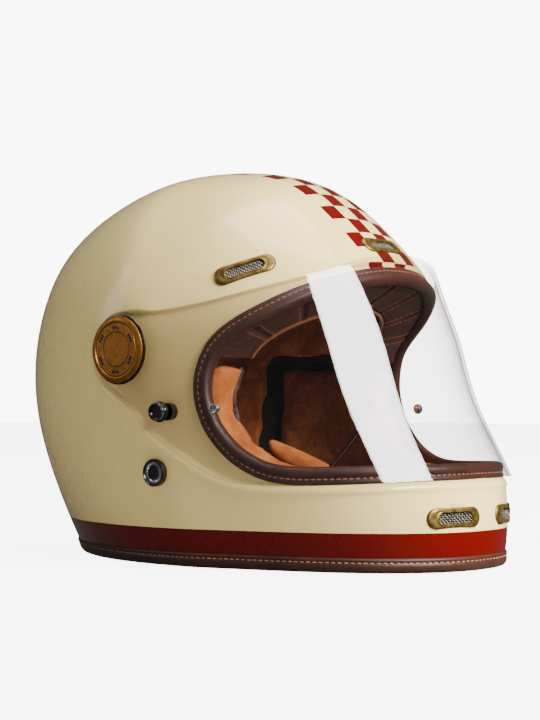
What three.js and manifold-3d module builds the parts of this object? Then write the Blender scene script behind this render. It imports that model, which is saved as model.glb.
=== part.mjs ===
// Retro full-face motorcycle helmet with a flip-up clear visor, in millimetres.
// It faces -Y with +Z up and rests on z = 0. The wearer's right is -X.
import * as THREE from "three";
import { mergeVertices } from "three/addons/utils/BufferGeometryUtils.js";
import Module from "manifold-3d";

const wasm = await Module();
wasm.setup();

// ---------------------------------------------------------------- driving dimensions

const PIVOT = { y: 15.5, z: 128.3 }; // the visor's axis runs along X through here
const ANCHOR = { y: -6, z: 55.5 }; // the chin strap's rivets
const LATCH = { y: -15.4, z: 91.4 };
const PIN = { y: -49.7, z: 93 };

// A bulged surface about the pivot axis. In the side view its radius and its fullness vary with
// the direction round the axis: 0 is backwards, a quarter turn is up. Its sides taper forwards.
const DOME = {
  halfWidth: 112,
  radii: [
    154.5, 146.5, 140, 129.5, 122, 118.5, 115.5, 117, 121.5, 121, 126, 137,
    146, 176.5, 213, 240, 240, 231, 217, 201, 185, 172, 165.5, 161.5,
  ],
  fullness: [1.9, 2.1, 2.0, 2.25, 2.2, 2.3, 2.15, 1.7],
  taper: 0.096,
};
const SHIELD = {
  halfWidth: 115,
  radii: [
    150, 150, 150, 150, 150, 150, 148, 145, 142.5, 141.5, 138.5, 138,
    152.5, 166, 238, 310, 330, 300, 260, 225, 195, 175, 162, 154,
  ],
  fullness: [2.4, 2.5, 2.5, 2.4, 1.87, 1.96, 2.5, 2.6],
  taper: 0.033,
};
const TAPER_LENGTH = 35;
const TAPER_DIRECTION = (166 * Math.PI) / 180;

const WALL = 5.2;
const RECESS_DEPTH = 2.2;
const VISOR_WALL = 2;
const GAP = 0.3;
const RIM_Z = 2; // lower edge of the shell inside the bottom trim
const FAR = 260;

const TRIM = { halfWidth: 5.2, outer: 0.3, inner: 7.2 };
const BOTTOM_TRIM = { height: 8.8, outer: -1.6, inner: 6.8 };
const LINER = { outer: 7, inner: 28, top: 125, back: 34 };
const COMFORT = { outer: 30, inner: 37, brow: 39 };
const CHEEK = { front: 9.5, side: 18, inner: 36, top: 122, bottom: 11.5, rear: 42 };
const STRAP = { thickness: 1.8, halfWidth: 10, low: 3 };
const RING_WIRE = 1.5;
const VISOR_MARGIN = 1.6; // all round, inside the shell's step
const EAR_BORE = 8.4;
const PIVOT_BORE = 7.4;
const ANCHOR_BORE = 3.4;
const VENT = { length: 38, width: 12, slotLength: 24.4, slotWidth: 6.6, height: 1.8 };

// Edge of the shell's eye opening, in the side view, from above the brow round to the chin.
const EYEPORT = [
  [-128, 190], [-108, 174], [-100.5, 169], [-84, 160], [-66, 149], [-56.5, 143], [-47, 135.6],
  [-41, 128.3], [-37.5, 119.5], [-35.8, 111.5], [-35.8, 104], [-37.2, 96], [-40.8, 86],
  [-46.7, 77], [-54.6, 68.5], [-64, 62], [-75, 57.2], [-88, 55], [-104, 54.8], [-130, 55.8],
  [-160, 57.3], [-195, 59],
];
// Edge of the step that the visor lies in, the same way round, past the pivot and the latch's notch.
const RECESS = [
  [-122, 197], [-103, 181.5], [-94, 175], [-81, 169.7], [-63, 163.6], [-49.3, 159.7],
  [-34.6, 156], [-18, 152.9], [-2.7, 151], [15, 151.5], [31, 147], [40, 134], [40.5, 119],
  [34, 108], [25, 101.5], [14, 94.5], [6.5, 89], [1, 83], [-4.5, 77.6], [-11, 73], [-20, 67.5],
  [-28.9, 62.2], [-37.7, 57.4], [-46.4, 53.4], [-55.2, 50.6], [-63.8, 48.9], [-75, 48.1],
  [-89, 48], [-116.7, 48.8], [-153, 50.8], [-195, 53],
];

// ---------------------------------------------------------------- looks

const paint = (color, roughness, metalness = 0) =>
  new THREE.MeshStandardMaterial({ color, roughness, metalness });
const CREAM = paint(0xeadfc4, 0.15);
const LEATHER = paint(0x4c3026, 0.55);
const SUEDE = paint(0xb06c38, 0.95);
const FOAM = paint(0x2a2a2c, 0.9);
const LINING = paint(0x4a2c1c, 0.95);
const CLEAR = new THREE.MeshStandardMaterial({
  color: 0xe8ecee, roughness: 0.03, transparent: true, opacity: 0.3,
});
const BRASS = paint(0x96682a, 0.35, 1);
const STEEL = paint(0xb8b8ba, 0.3, 1);
const BLACK = paint(0x0c0c0d, 0.25);
const WEBBING = paint(0x151515, 0.9);

const helmet = new THREE.Group();

// ---------------------------------------------------------------- solids and meshes

function solidOf(geometry) {
  const bare = geometry.clone();
  bare.deleteAttribute("normal");
  bare.deleteAttribute("uv");
  const merged = mergeVertices(bare, 1e-4);
  return new wasm.Manifold(
    new wasm.Mesh({
      numProp: 3,
      vertProperties: new Float32Array(merged.attributes.position.array),
      triVerts: new Uint32Array(merged.index.array),
    }),
  );
}

function geometryOf(solid) {
  const { vertProperties, triVerts } = solid.getMesh();
  const geometry = new THREE.BufferGeometry();
  geometry.setAttribute("position", new THREE.BufferAttribute(vertProperties, 3));
  geometry.setIndex(new THREE.BufferAttribute(triVerts, 1));
  geometry.computeVertexNormals();
  return geometry;
}

function add(name, solid, material) {
  const mesh = new THREE.Mesh(geometryOf(solid), material);
  mesh.name = name;
  helmet.add(mesh);
}

// One piece on the wearer's right and its mirror image on the left.
function addPair(name, solid, material) {
  add(name + "_right", solid, material);
  const left = new THREE.Mesh(geometryOf(solid), material);
  left.name = name + "_left";
  left.scale.x = -1;
  helmet.add(left);
}

function box(x0, x1, y0, y1, z0, z1) {
  const geometry = new THREE.BoxGeometry(x1 - x0, y1 - y0, z1 - z0);
  geometry.translate((x0 + x1) / 2, (y0 + y1) / 2, (z0 + z1) / 2);
  return solidOf(geometry);
}

// A solid of revolution about a line along X. The profile's points are [radius, x] with x rising.
function turned(profile, y, z, segments = 16) {
  const points = profile.map(([radius, x]) => new THREE.Vector2(radius, x));
  const geometry = new THREE.LatheGeometry(points, segments);
  const frame = new THREE.Matrix4().makeBasis(
    new THREE.Vector3(0, 1, 0), new THREE.Vector3(1, 0, 0), new THREE.Vector3(0, 0, -1),
  );
  geometry.applyMatrix4(frame);
  geometry.translate(0, y, z);
  return solidOf(geometry);
}

const disc = (radius, x0, x1, y, z, segments) =>
  turned([[0, x0], [radius, x0], [radius, x1], [0, x1]], y, z, segments);

const tube = (inner, outer, x0, x1, y, z, segments) =>
  turned([[inner, x0], [outer, x0], [outer, x1], [inner, x1], [inner, x0]], y, z, segments);

// A solid of revolution about an upright line. The profile's points are [radius, z] with z rising.
function turnedUp(profile, x, y, segments = 20) {
  const points = profile.map(([radius, z]) => new THREE.Vector2(radius, z));
  const geometry = new THREE.LatheGeometry(points, segments);
  geometry.rotateX(Math.PI / 2);
  geometry.translate(x, y, 0);
  return solidOf(geometry);
}

// A flat outline of [y, z] points carried along X from x0 to x1.
function prism(points, x0 = -FAR, x1 = FAR) {
  const shape = new THREE.Shape(points.map(([y, z]) => new THREE.Vector2(y, z)));
  const geometry = new THREE.ExtrudeGeometry(shape, { depth: x1 - x0, bevelEnabled: false });
  const frame = new THREE.Matrix4().makeBasis(
    new THREE.Vector3(0, 1, 0), new THREE.Vector3(0, 0, 1), new THREE.Vector3(1, 0, 0),
  );
  geometry.applyMatrix4(frame);
  geometry.translate(x0, 0, 0);
  return solidOf(geometry);
}

// ---------------------------------------------------------------- the bulged surfaces

// Uniform cubic B-spline through a ring of control values, at an angle in radians.
function ringValue(values, angle) {
  const count = values.length;
  const place = ((angle / (2 * Math.PI)) * count + 4 * count) % count;
  const first = Math.floor(place);
  const t = place - first;
  const weights = [
    (1 - t) ** 3 / 6,
    (3 * t ** 3 - 6 * t ** 2 + 4) / 6,
    (-3 * t ** 3 + 3 * t ** 2 + 3 * t + 1) / 6,
    t ** 3 / 6,
  ];
  return weights.reduce(
    (sum, weight, k) => sum + weight * values[(first + k - 1 + count) % count], 0,
  );
}

function taperAt(surface, dy, dz) {
  const ahead = Math.max(
    0, dy * Math.cos(TAPER_DIRECTION) + dz * Math.sin(TAPER_DIRECTION),
  );
  return 1 - (surface.taper * ahead ** 2) / (ahead ** 2 + TAPER_LENGTH ** 2);
}

// The point at an angle round the pivot axis and at a lean from the mid-plane out to the side.
function surfacePoint(surface, inset, angle, lean) {
  const power = 2 / ringValue(surface.fullness, angle);
  const radius = (ringValue(surface.radii, angle) - inset) * Math.cos(lean) ** power;
  const dy = radius * Math.cos(angle);
  const dz = radius * Math.sin(angle);
  const side = (surface.halfWidth - inset) * Math.abs(Math.sin(lean)) ** power;
  const x = Math.sign(lean) * side * taperAt(surface, dy, dz);
  return new THREE.Vector3(x, PIVOT.y + dy, PIVOT.z + dz);
}

// 1 on the surface, less inside it.
function level(surface, inset, point) {
  const dy = point.y - PIVOT.y;
  const dz = point.z - PIVOT.z;
  const angle = Math.atan2(dz, dy);
  const n = ringValue(surface.fullness, angle);
  const side = (surface.halfWidth - inset) * taperAt(surface, dy, dz);
  const radius = ringValue(surface.radii, angle) - inset;
  return ((Math.abs(point.x) / side) ** n + (Math.hypot(dy, dz) / radius) ** n) ** (1 / n);
}

// The closed solid inside a surface, as rings of points from the right pole to the left one.
function bulge(surface, inset, around = 30, across = 16) {
  const positions = [];
  for (let j = 1; j < across; j += 1) {
    const lean = Math.PI * (j / across - 0.5);
    for (let i = 0; i < around; i += 1) {
      positions.push(...surfacePoint(surface, inset, (2 * Math.PI * i) / around, lean));
    }
  }
  const rightPole = positions.length / 3;
  positions.push(-(surface.halfWidth - inset), PIVOT.y, PIVOT.z);
  positions.push(surface.halfWidth - inset, PIVOT.y, PIVOT.z);
  const index = [];
  for (let i = 0; i < around; i += 1) {
    const next = (i + 1) % around;
    index.push(rightPole, next, i);
    for (let j = 0; j < across - 2; j += 1) {
      const a = j * around + i;
      const b = j * around + next;
      index.push(a, b, a + around, b, b + around, a + around);
    }
    const last = (across - 2) * around;
    index.push(rightPole + 1, last + i, last + next);
  }
  const geometry = new THREE.BufferGeometry();
  geometry.setAttribute("position", new THREE.Float32BufferAttribute(positions, 3));
  geometry.setIndex(index);
  return solidOf(geometry);
}

const dome = (inset) => bulge(DOME, inset);
const roughDome = (inset) => bulge(DOME, inset, 20, 10);
const between = (make, outer, inner) => make(outer).subtract(make(inner));

// The nearest stretch of the dome straight out from the pivot axis's middle.
function onDome(direction) {
  const centre = new THREE.Vector3(0, PIVOT.y, PIVOT.z);
  const point = centre.clone().addScaledVector(direction, 120);
  for (let pass = 0; pass < 12; pass += 1) {
    const reach = 1 / level(DOME, 0, point);
    point.sub(centre).multiplyScalar(reach).add(centre);
  }
  return point;
}

function domeNormal(point) {
  const step = 0.5;
  const slope = ["x", "y", "z"].map((axis) => {
    const ahead = point.clone();
    const behind = point.clone();
    ahead[axis] += step;
    behind[axis] -= step;
    return level(DOME, 0, ahead) - level(DOME, 0, behind);
  });
  return new THREE.Vector3(...slope).normalize();
}

// ---------------------------------------------------------------- outlines in the side view

// Points along a smooth curve, moved sideways away from the opening.
function smoothEdge(points, grow, count) {
  const curve = new THREE.SplineCurve(points.map(([y, z]) => new THREE.Vector2(y, z)));
  return Array.from({ length: count + 1 }, (_, k) => {
    const p = curve.getPoint(k / count);
    const t = curve.getTangent(k / count);
    return [p.x - t.y * grow, p.y + t.x * grow];
  });
}

const openForward = (edge) => [...edge, [-FAR, edge.at(-1)[1]], [-FAR, edge[0][1]]];
const eyeport = (grow) => prism(openForward(smoothEdge(EYEPORT, grow, 22)));
const recess = (grow) => prism(openForward(smoothEdge(RECESS, grow, 30)));

// ---------------------------------------------------------------- vents

// A long round-ended block standing on the dome at a place, from below to above its surface.
function ventBlock(place, length, width, below, above) {
  const straight = (length - width) / 2;
  const shape = new THREE.Shape();
  shape.absarc(straight, 0, width / 2, -Math.PI / 2, Math.PI / 2);
  shape.absarc(-straight, 0, width / 2, Math.PI / 2, Math.PI * 1.5);
  const geometry = new THREE.ExtrudeGeometry(shape, {
    depth: above - below, bevelEnabled: false, curveSegments: 4,
  });
  geometry.translate(0, 0, below);
  geometry.applyMatrix4(new THREE.Matrix4().makeBasis(place.along, place.over, place.out));
  geometry.translate(...place.at);
  return solidOf(geometry);
}

function ventPlace(direction, along) {
  const at = onDome(direction.normalize());
  const out = domeNormal(at);
  const flat = along.clone().addScaledVector(out, -along.dot(out)).normalize();
  return { at, out, along: flat, over: out.clone().cross(flat) };
}

const vec = (x, y, z) => new THREE.Vector3(x, y, z);
const ACROSS = vec(1, 0, 0);
const VENTS = {
  brow_right: ventPlace(vec(-82.7, -68.5, 47), vec(0.42, -0.82, 0.34)),
  brow_centre: ventPlace(vec(0, -110, 64), ACROSS),
  brow_left: ventPlace(vec(82.7, -68.5, 47), vec(0.42, 0.82, -0.34)),
  chin_right: ventPlace(vec(-27.8, -179, -97.5), ACROSS),
  chin_left: ventPlace(vec(27.8, -179, -97.5), ACROSS),
  rear_right: ventPlace(vec(-27, 112, 50), ACROSS),
  rear_left: ventPlace(vec(27, 112, 50), ACROSS),
};

function ventBezel(place) {
  return ventBlock(place, VENT.length, VENT.width, -8, 8)
    .intersect(between(dome, -VENT.height, -GAP))
    .subtract(ventBlock(place, VENT.slotLength, VENT.slotWidth, -12, 12));
}

const ventMesh = (place) =>
  ventBlock(place, VENT.slotLength - 2 * GAP, VENT.slotWidth - 2 * GAP, -2, -0.8);

const ventHole = (place) =>
  ventBlock(place, VENT.slotLength + 2.4, VENT.slotWidth + 2.4, -14, 14);

// ---------------------------------------------------------------- shell and trims

const BELOW = box(-FAR, FAR, -FAR, FAR, -FAR, RIM_Z);

function outerShell() {
  let shell = between(dome, 0, WALL).subtract(BELOW).subtract(eyeport(0));
  shell = shell.subtract(recess(0).subtract(dome(RECESS_DEPTH)));
  Object.values(VENTS).forEach((place) => {
    shell = shell.subtract(ventHole(place));
  });
  return shell
    .subtract(disc(PIVOT_BORE, -FAR, FAR, PIVOT.y, PIVOT.z))
    .subtract(disc(ANCHOR_BORE, -FAR, FAR, ANCHOR.y, ANCHOR.z));
}

function eyeportTrim() {
  const slot = between(dome, RECESS_DEPTH - GAP, WALL + GAP).subtract(eyeport(-GAP));
  return between(dome, TRIM.outer, TRIM.inner)
    .intersect(eyeport(TRIM.halfWidth))
    .subtract(eyeport(-TRIM.halfWidth))
    .subtract(slot);
}

function bottomTrim() {
  const slot = between(dome, -GAP, WALL + GAP)
    .subtract(box(-FAR, FAR, -FAR, FAR, -FAR, RIM_Z - GAP));
  return between(dome, BOTTOM_TRIM.outer, BOTTOM_TRIM.inner)
    .intersect(box(-FAR, FAR, -FAR, FAR, 0, BOTTOM_TRIM.height))
    .subtract(slot);
}

add("outer_shell", outerShell(), CREAM);
add("eyeport_trim", eyeportTrim(), LEATHER);
add("bottom_trim", bottomTrim(), LEATHER);
for (const [name, place] of Object.entries(VENTS)) {
  add("vent_bezel_" + name, ventBezel(place), BRASS);
  add("vent_mesh_" + name, ventMesh(place), STEEL);
}

// ---------------------------------------------------------------- liner and pads

const PIVOT_POCKET = disc(12, -FAR, FAR, PIVOT.y, PIVOT.z);

function crownEps() {
  const lowFront = box(-FAR, FAR, -FAR, 48, -FAR, LINER.top);
  const lowBack = box(-FAR, FAR, 0, FAR, -FAR, LINER.back);
  return between(roughDome, LINER.outer, LINER.inner)
    .subtract(eyeport(11))
    .subtract(lowFront)
    .subtract(lowBack)
    .subtract(PIVOT_POCKET.subtract(dome(18)));
}

// Everything ahead of a plane that leans back over the forehead.
const forehead = (back) =>
  prism([[-FAR, 60], [-24 + back, 60], [-36 + back, 150], [-58 + back, 250], [-FAR, 250]]);

function crownPad() {
  const lowFront = box(-FAR, FAR, -FAR, 48, -FAR, LINER.top);
  const lowBack = box(-FAR, FAR, 0, FAR, -FAR, 40);
  return between(roughDome, COMFORT.outer, COMFORT.inner)
    .subtract(forehead(1))
    .subtract(lowFront)
    .subtract(lowBack);
}

// The quilted band over the forehead, with a lip that closes the gap to the eyeport trim.
function browPad() {
  const high = box(-FAR, FAR, -FAR, 0, CHEEK.top + 2, FAR);
  const lip = between(roughDome, 9.5, COMFORT.brow).intersect(eyeport(9));
  const band = between(roughDome, COMFORT.outer, COMFORT.brow);
  return lip.add(band).intersect(high).intersect(forehead(0)).subtract(eyeport(-3));
}

const SWING_ROOM = disc(70, -FAR, FAR, ANCHOR.y, ANCHOR.z, 40)
  .subtract(disc(46, -FAR, FAR, ANCHOR.y, ANCHOR.z, 40))
  .intersect(box(-FAR, FAR, -60, 50, -FAR, 24));

function cheekPad() {
  const rightSide = box(-FAR, -20, -100, CHEEK.rear, CHEEK.bottom, CHEEK.top);
  const face = between(roughDome, CHEEK.front, CHEEK.inner)
    .intersect(box(-FAR, 0, -FAR, -34, 30, FAR));
  const side = between(roughDome, CHEEK.side, CHEEK.inner);
  return face
    .add(side)
    .intersect(rightSide)
    .subtract(eyeport(-3.5))
    .subtract(SWING_ROOM);
}

function neckRoll() {
  return between(roughDome, 9, 26).intersect(box(-FAR, FAR, 50, FAR, 10.5, 31));
}

function chinEps() {
  return between(roughDome, LINER.outer, 17)
    .intersect(box(-FAR, FAR, -FAR, -102, 11, 51.5))
    .subtract(eyeport(11));
}

function chinLining() {
  return between(roughDome, 18, 22)
    .intersect(box(-FAR, FAR, -FAR, -102, 11, 56))
    .subtract(eyeport(2));
}

add("crown_eps", crownEps(), FOAM);
add("chin_eps", chinEps(), FOAM);
add("crown_pad", crownPad(), LINING);
add("brow_pad", browPad(), LEATHER);
addPair("cheek_pad", cheekPad(), SUEDE);
add("neck_roll", neckRoll(), LEATHER);
add("chin_lining", chinLining(), LINING);

// ---------------------------------------------------------------- visor, its pivots and latch

function visor() {
  const sheet = bulge(SHIELD, 0, 36, 18).subtract(bulge(SHIELD, VISOR_WALL, 36, 18));
  return sheet
    .intersect(recess(-VISOR_MARGIN))
    .subtract(disc(EAR_BORE, -FAR, FAR, PIVOT.y, PIVOT.z))
    .subtract(disc(2.4, -FAR, FAR, PIN.y, PIN.z, 16))
    .subtract(disc(3.7, -FAR, 0, LATCH.y, LATCH.z, 20));
}

// The sheet's outer face at a place in the side view, on the wearer's right.
function shieldX(y, z) {
  const dy = y - PIVOT.y;
  const dz = z - PIVOT.z;
  const angle = Math.atan2(dz, dy);
  const n = ringValue(SHIELD.fullness, angle);
  const rise = (Math.hypot(dy, dz) / ringValue(SHIELD.radii, angle)) ** n;
  return SHIELD.halfWidth * taperAt(SHIELD, dy, dz) * (1 - rise) ** (1 / n);
}

function visorPin() {
  const outside = shieldX(PIN.y, PIN.z);
  return turned(
    [
      [0, -outside - 1.9], [3.4, -outside - 1.9], [3.6, -outside - 1.3], [2, -outside - 1.3],
      [2, -outside + 2.2], [0, -outside + 2.2],
    ],
    PIN.y, PIN.z, 14,
  );
}

// Each stack is written from the outside in, on the wearer's right, and mirrored to the left.
const pivotParts = {
  pivot_cap: () =>
    turned(
      [
        [0, -119.5], [17.6, -119.5], [19.8, -118.6], [19.8, -117.3], [6.2, -117.3], [6.2, -118],
        [0, -118],
      ],
      PIVOT.y, PIVOT.z, 24,
    ),
  pivot_washer: () =>
    turned(
      [
        [5.8, -116.9], [20.9, -116.9], [20.9, -115.6], [3.3, -115.6], [3.3, -116.3],
        [5.8, -116.3], [5.8, -116.9],
      ],
      PIVOT.y, PIVOT.z, 24,
    ),
  pivot_bush: () => tube(3.3, 8, -115.3, -111.4, PIVOT.y, PIVOT.z, 16),
  pivot_base: () =>
    turned(
      [
        [3.3, -111.1], [12, -111.1], [12, -110.1], [7, -110.1], [7, -105.5], [3.3, -105.5],
        [3.3, -111.1],
      ],
      PIVOT.y, PIVOT.z, 20,
    ),
  pivot_screw: () =>
    turned(
      [[0, -117.6], [5.4, -117.6], [5.4, -116.6], [3, -116.6], [3, -100.5], [0, -100.5]],
      PIVOT.y, PIVOT.z, 16,
    ),
  pivot_nut: () => tube(3.7, 6.5, -105.2, -101.5, PIVOT.y, PIVOT.z, 6),
};

function latchKnob() {
  return turned(
    [
      [0, -118.2], [3.8, -118.2], [4.2, -119.4], [5.2, -119.1], [5.3, -115.6], [6.2, -115.4],
      [6.2, -114.6], [3.2, -114.6], [3.2, -110], [0, -110],
    ],
    LATCH.y, LATCH.z, 18,
  );
}

function latchStud() {
  return turned(
    [
      [3.7, -109.6], [5.2, -109.6], [5.2, -104], [0, -104], [0, -107.4], [3.7, -107.4],
      [3.7, -109.6],
    ],
    LATCH.y, LATCH.z, 16,
  ).subtract(dome(RECESS_DEPTH - GAP));
}

add("visor", visor(), CLEAR);
addPair("visor_pin", visorPin(), STEEL);
add("latch_knob", latchKnob(), BLACK);
add("latch_stud", latchStud(), BLACK);
for (const [name, make] of Object.entries(pivotParts)) {
  addPair(name, make(), name === "pivot_cap" || name === "pivot_bush" ? BRASS : BLACK);
}

// ---------------------------------------------------------------- chin strap

const toVector2 = ([x, z]) => new THREE.Vector2(x, z);

// An outline of [x, z] points carried across the strap's width.
function crossing(points) {
  const shape = new THREE.Shape(points.map(toVector2));
  const geometry = new THREE.ExtrudeGeometry(shape, {
    depth: 2 * STRAP.halfWidth, bevelEnabled: false,
  });
  geometry.rotateX(Math.PI / 2);
  geometry.translate(0, ANCHOR.y + STRAP.halfWidth, 0);
  return solidOf(geometry);
}

// A strip of webbing along a path of [x, z] points.
function webbing(path) {
  const half = STRAP.thickness / 2;
  const left = [];
  const right = [];
  path.forEach(([x, z], k) => {
    const [x0, z0] = path[Math.max(0, k - 1)];
    const [x1, z1] = path[Math.min(path.length - 1, k + 1)];
    const run = new THREE.Vector2(x1 - x0, z1 - z0).normalize();
    left.push([x - run.y * half, z + run.x * half]);
    right.unshift([x + run.y * half, z - run.x * half]);
  });
  return crossing([...left, ...right]);
}

// A half circle of [x, z] points about a centre, from one angle to another in degrees.
function arc(x, z, radius, from, to, steps = 6) {
  return Array.from({ length: steps + 1 }, (_, k) => {
    const angle = ((from + ((to - from) * k) / steps) * Math.PI) / 180;
    return [x + radius * Math.cos(angle), z + radius * Math.sin(angle)];
  });
}

// The fall from the rivet down the inside of the shell to the level run, on the wearer's right.
const FALL = [
  [-96.4, 65], [-96.4, 45], [-93.5, 30], [-88.5, 17], [-85.5, 10], [-80.5, 5], [-73, STRAP.low],
];

// Through both rings from below, back over the inner one and out under the outer one.
const RING_OUTER = { bar: [14, 7.6], bow: [-10, 8.2] };
const RING_INNER = { bar: [14, 11.2], bow: [-2, 11.8] };
const THREADED = [
  ...FALL, [0, STRAP.low], ...arc(2, 7, 4, -90, 0, 4), [6, 12.3],
  ...arc(1, 12.3, 5, 20, 160, 7), [-6, 12], [-6, 8.2], ...arc(-9.1, 8.2, 3.1, -10, -90, 4),
  [-20, 5.1], [-50, 5.1],
];
// Round both rings' bars and back onto itself, on the wearer's left.
const LOOPED = [
  ...FALL.map(([x, z]) => [-x, z]), [26, STRAP.low], [15, STRAP.low],
  ...arc(14, 8.6, 4.6, -100, -180, 5),
  ...arc(14, 11.2, 4.6, 180, 80, 6), [20, 14], [27, 9], [32, 5.1], [62, 5.1],
];

function ring({ bar, bow }) {
  const halfLength = 12.4;
  const at = (share, y) => new THREE.Vector3(
    bar[0] + (bow[0] - bar[0]) * share, y, bar[1] + (bow[1] - bar[1]) * share,
  );
  const path = new THREE.CatmullRomCurve3(
    [
      at(0, 1 - halfLength), at(0, 0), at(0, halfLength - 1), at(0.15, halfLength),
      at(0.85, halfLength), at(1, halfLength - 1.5), at(1, 0), at(1, 1.5 - halfLength),
      at(0.85, -halfLength), at(0.15, -halfLength),
    ],
    true, "centripetal",
  );
  const wire = new THREE.Shape();
  wire.absarc(0, 0, RING_WIRE, 0, 2 * Math.PI);
  const geometry = new THREE.ExtrudeGeometry(wire, {
    steps: 18, extrudePath: path, bevelEnabled: false, curveSegments: 3,
  });
  geometry.translate(0, ANCHOR.y, 0);
  return solidOf(geometry);
}

const strapEye = disc(3.4, -FAR, FAR, ANCHOR.y, ANCHOR.z, 12);

add("chin_strap_right", webbing(THREADED).subtract(strapEye), WEBBING);
add("chin_strap_left", webbing(LOOPED).subtract(strapEye), WEBBING);
add("d_ring_outer", ring(RING_OUTER), STEEL);
add("d_ring_inner", ring(RING_INNER), STEEL);
add("strap_stud", turnedUp([[0, 6.4], [5.5, 6.4], [5, 7.8], [0, 8.2]], -42, ANCHOR.y), BLACK);

const anchorParts = {
  strap_anchor_cap: () =>
    disc(8.2, -110.6, -100, ANCHOR.y, ANCHOR.z, 24).subtract(dome(-GAP))
      .subtract(disc(3, -107.9, 0, ANCHOR.y, ANCHOR.z, 16)),
  strap_rivet: () =>
    turned(
      [[0, -107.6], [2.8, -107.6], [2.8, -95.2], [6, -95.2], [6, -93.8], [0, -93.8]],
      ANCHOR.y, ANCHOR.z, 14,
    ),
  strap_anchor_plate: () => tube(3.3, 8, -99, -97.6, ANCHOR.y, ANCHOR.z, 16),
};
for (const [name, make] of Object.entries(anchorParts)) {
  addPair(name, make(), STEEL);
}

export default helmet;
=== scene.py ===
import math

import bmesh
import bpy
import numpy as np
from mathutils import Matrix, Vector
from mathutils.bvhtree import BVHTree


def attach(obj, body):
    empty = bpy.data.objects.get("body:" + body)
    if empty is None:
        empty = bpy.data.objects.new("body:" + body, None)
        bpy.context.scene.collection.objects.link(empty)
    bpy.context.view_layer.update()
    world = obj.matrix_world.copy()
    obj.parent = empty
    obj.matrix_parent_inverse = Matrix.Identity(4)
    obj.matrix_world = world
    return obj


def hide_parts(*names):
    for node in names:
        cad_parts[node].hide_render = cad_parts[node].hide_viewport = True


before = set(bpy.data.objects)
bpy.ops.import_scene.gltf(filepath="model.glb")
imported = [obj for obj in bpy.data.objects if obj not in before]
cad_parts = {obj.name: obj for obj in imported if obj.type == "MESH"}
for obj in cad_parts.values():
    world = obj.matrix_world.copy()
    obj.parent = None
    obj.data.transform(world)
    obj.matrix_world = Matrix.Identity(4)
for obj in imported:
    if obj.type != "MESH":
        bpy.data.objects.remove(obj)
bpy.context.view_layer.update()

# ---------------------------------------------------------------- driving dimensions, millimetres

MM = 0.001
PIVOT = (15.5, 128.3)      # y, z of the visor's axis, which runs along X
ANCHOR = (-6.0, 55.5)      # y, z of the chin strap's rivets
LATCH = (-15.4, 91.4)
PIN = (-49.7, 93.0)

DOME = {
    "half_width": 112,
    "radii": [154.5, 146.5, 140, 129.5, 122, 118.5, 115.5, 117, 121.5, 121, 126, 137,
              146, 176.5, 213, 240, 240, 231, 217, 201, 185, 172, 165.5, 161.5],
    "fullness": [1.9, 2.1, 2.0, 2.25, 2.2, 2.3, 2.15, 1.7],
    "taper": 0.096,
}
SHIELD = {
    "half_width": 115,
    "radii": [150, 150, 150, 150, 150, 150, 148, 145, 142.5, 141.5, 138.5, 138,
              152.5, 166, 238, 310, 330, 300, 260, 225, 195, 175, 162, 154],
    "fullness": [2.4, 2.5, 2.5, 2.4, 1.87, 1.96, 2.5, 2.6],
    "taper": 0.033,
}
TAPER_LENGTH = 35.0
TAPER_DIRECTION = math.radians(166)
WALL = 5.2
RECESS_DEPTH = 2.2
VISOR_WALL = 2.0
VISOR_MARGIN = 1.6
RIM_Z = 2.0

EYEPORT = [
    (-128, 190), (-108, 174), (-100.5, 169), (-84, 160), (-66, 149), (-56.5, 143), (-47, 135.6),
    (-41, 128.3), (-37.5, 119.5), (-35.8, 111.5), (-35.8, 104), (-37.2, 96), (-40.8, 86),
    (-46.7, 77), (-54.6, 68.5), (-64, 62), (-75, 57.2), (-88, 55), (-104, 54.8), (-130, 55.8),
    (-160, 57.3), (-195, 59),
]
RECESS = [
    (-122, 197), (-103, 181.5), (-94, 175), (-81, 169.7), (-63, 163.6), (-49.3, 159.7),
    (-34.6, 156), (-18, 152.9), (-2.7, 151), (15, 151.5), (31, 147), (40, 134), (40.5, 119),
    (34, 108), (25, 101.5), (14, 94.5), (6.5, 89), (1, 83), (-4.5, 77.6), (-11, 73),
    (-20, 67.5), (-28.9, 62.2), (-37.7, 57.4), (-46.4, 53.4), (-55.2, 50.6), (-63.8, 48.9),
    (-75, 48.1), (-89, 48), (-116.7, 48.8), (-153, 50.8), (-195, 53),
]

# ---------------------------------------------------------------- camera, floor and lights


def shown(name, data):
    """A new object in the scene."""
    obj = bpy.data.objects.new(name, data)
    bpy.context.scene.collection.objects.link(obj)
    return obj


def aim(obj, target):
    """Points an object's -Z at a place, with its Y up."""
    away = Vector(target) - obj.location
    obj.rotation_mode = "QUATERNION"
    obj.rotation_quaternion = away.to_track_quat("-Z", "Y")


def soft_box(name, place, target, size, power, color=(1, 1, 1), glossy=True, diffuse=True):
    """A rectangular studio lamp."""
    lamp = bpy.data.lights.new(name, "AREA")
    lamp.shape = "RECTANGLE"
    lamp.size, lamp.size_y = size
    lamp.energy = power
    lamp.color = color
    obj = shown(name, lamp)
    obj.location = place
    aim(obj, target)
    obj.visible_glossy = glossy
    obj.visible_diffuse = diffuse
    return obj


CAMERA_PLACE = Vector((-0.8788, -0.6942, 0.093))
CAMERA_LOOK = Vector((0.788, 0.616, 0.028))
AIR_LIGHT = 0.10           # what the air gives as light
AIR_SEEN = 9.0             # how bright the air looks behind the helmet
PAPER_SEEN = 6.5           # added to the paper only where the camera sees it
HELMET_MIDDLE = (0, 0, 0.12)
STRIP_PLACE = (-0.70, -2.08, 1.5)


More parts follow.
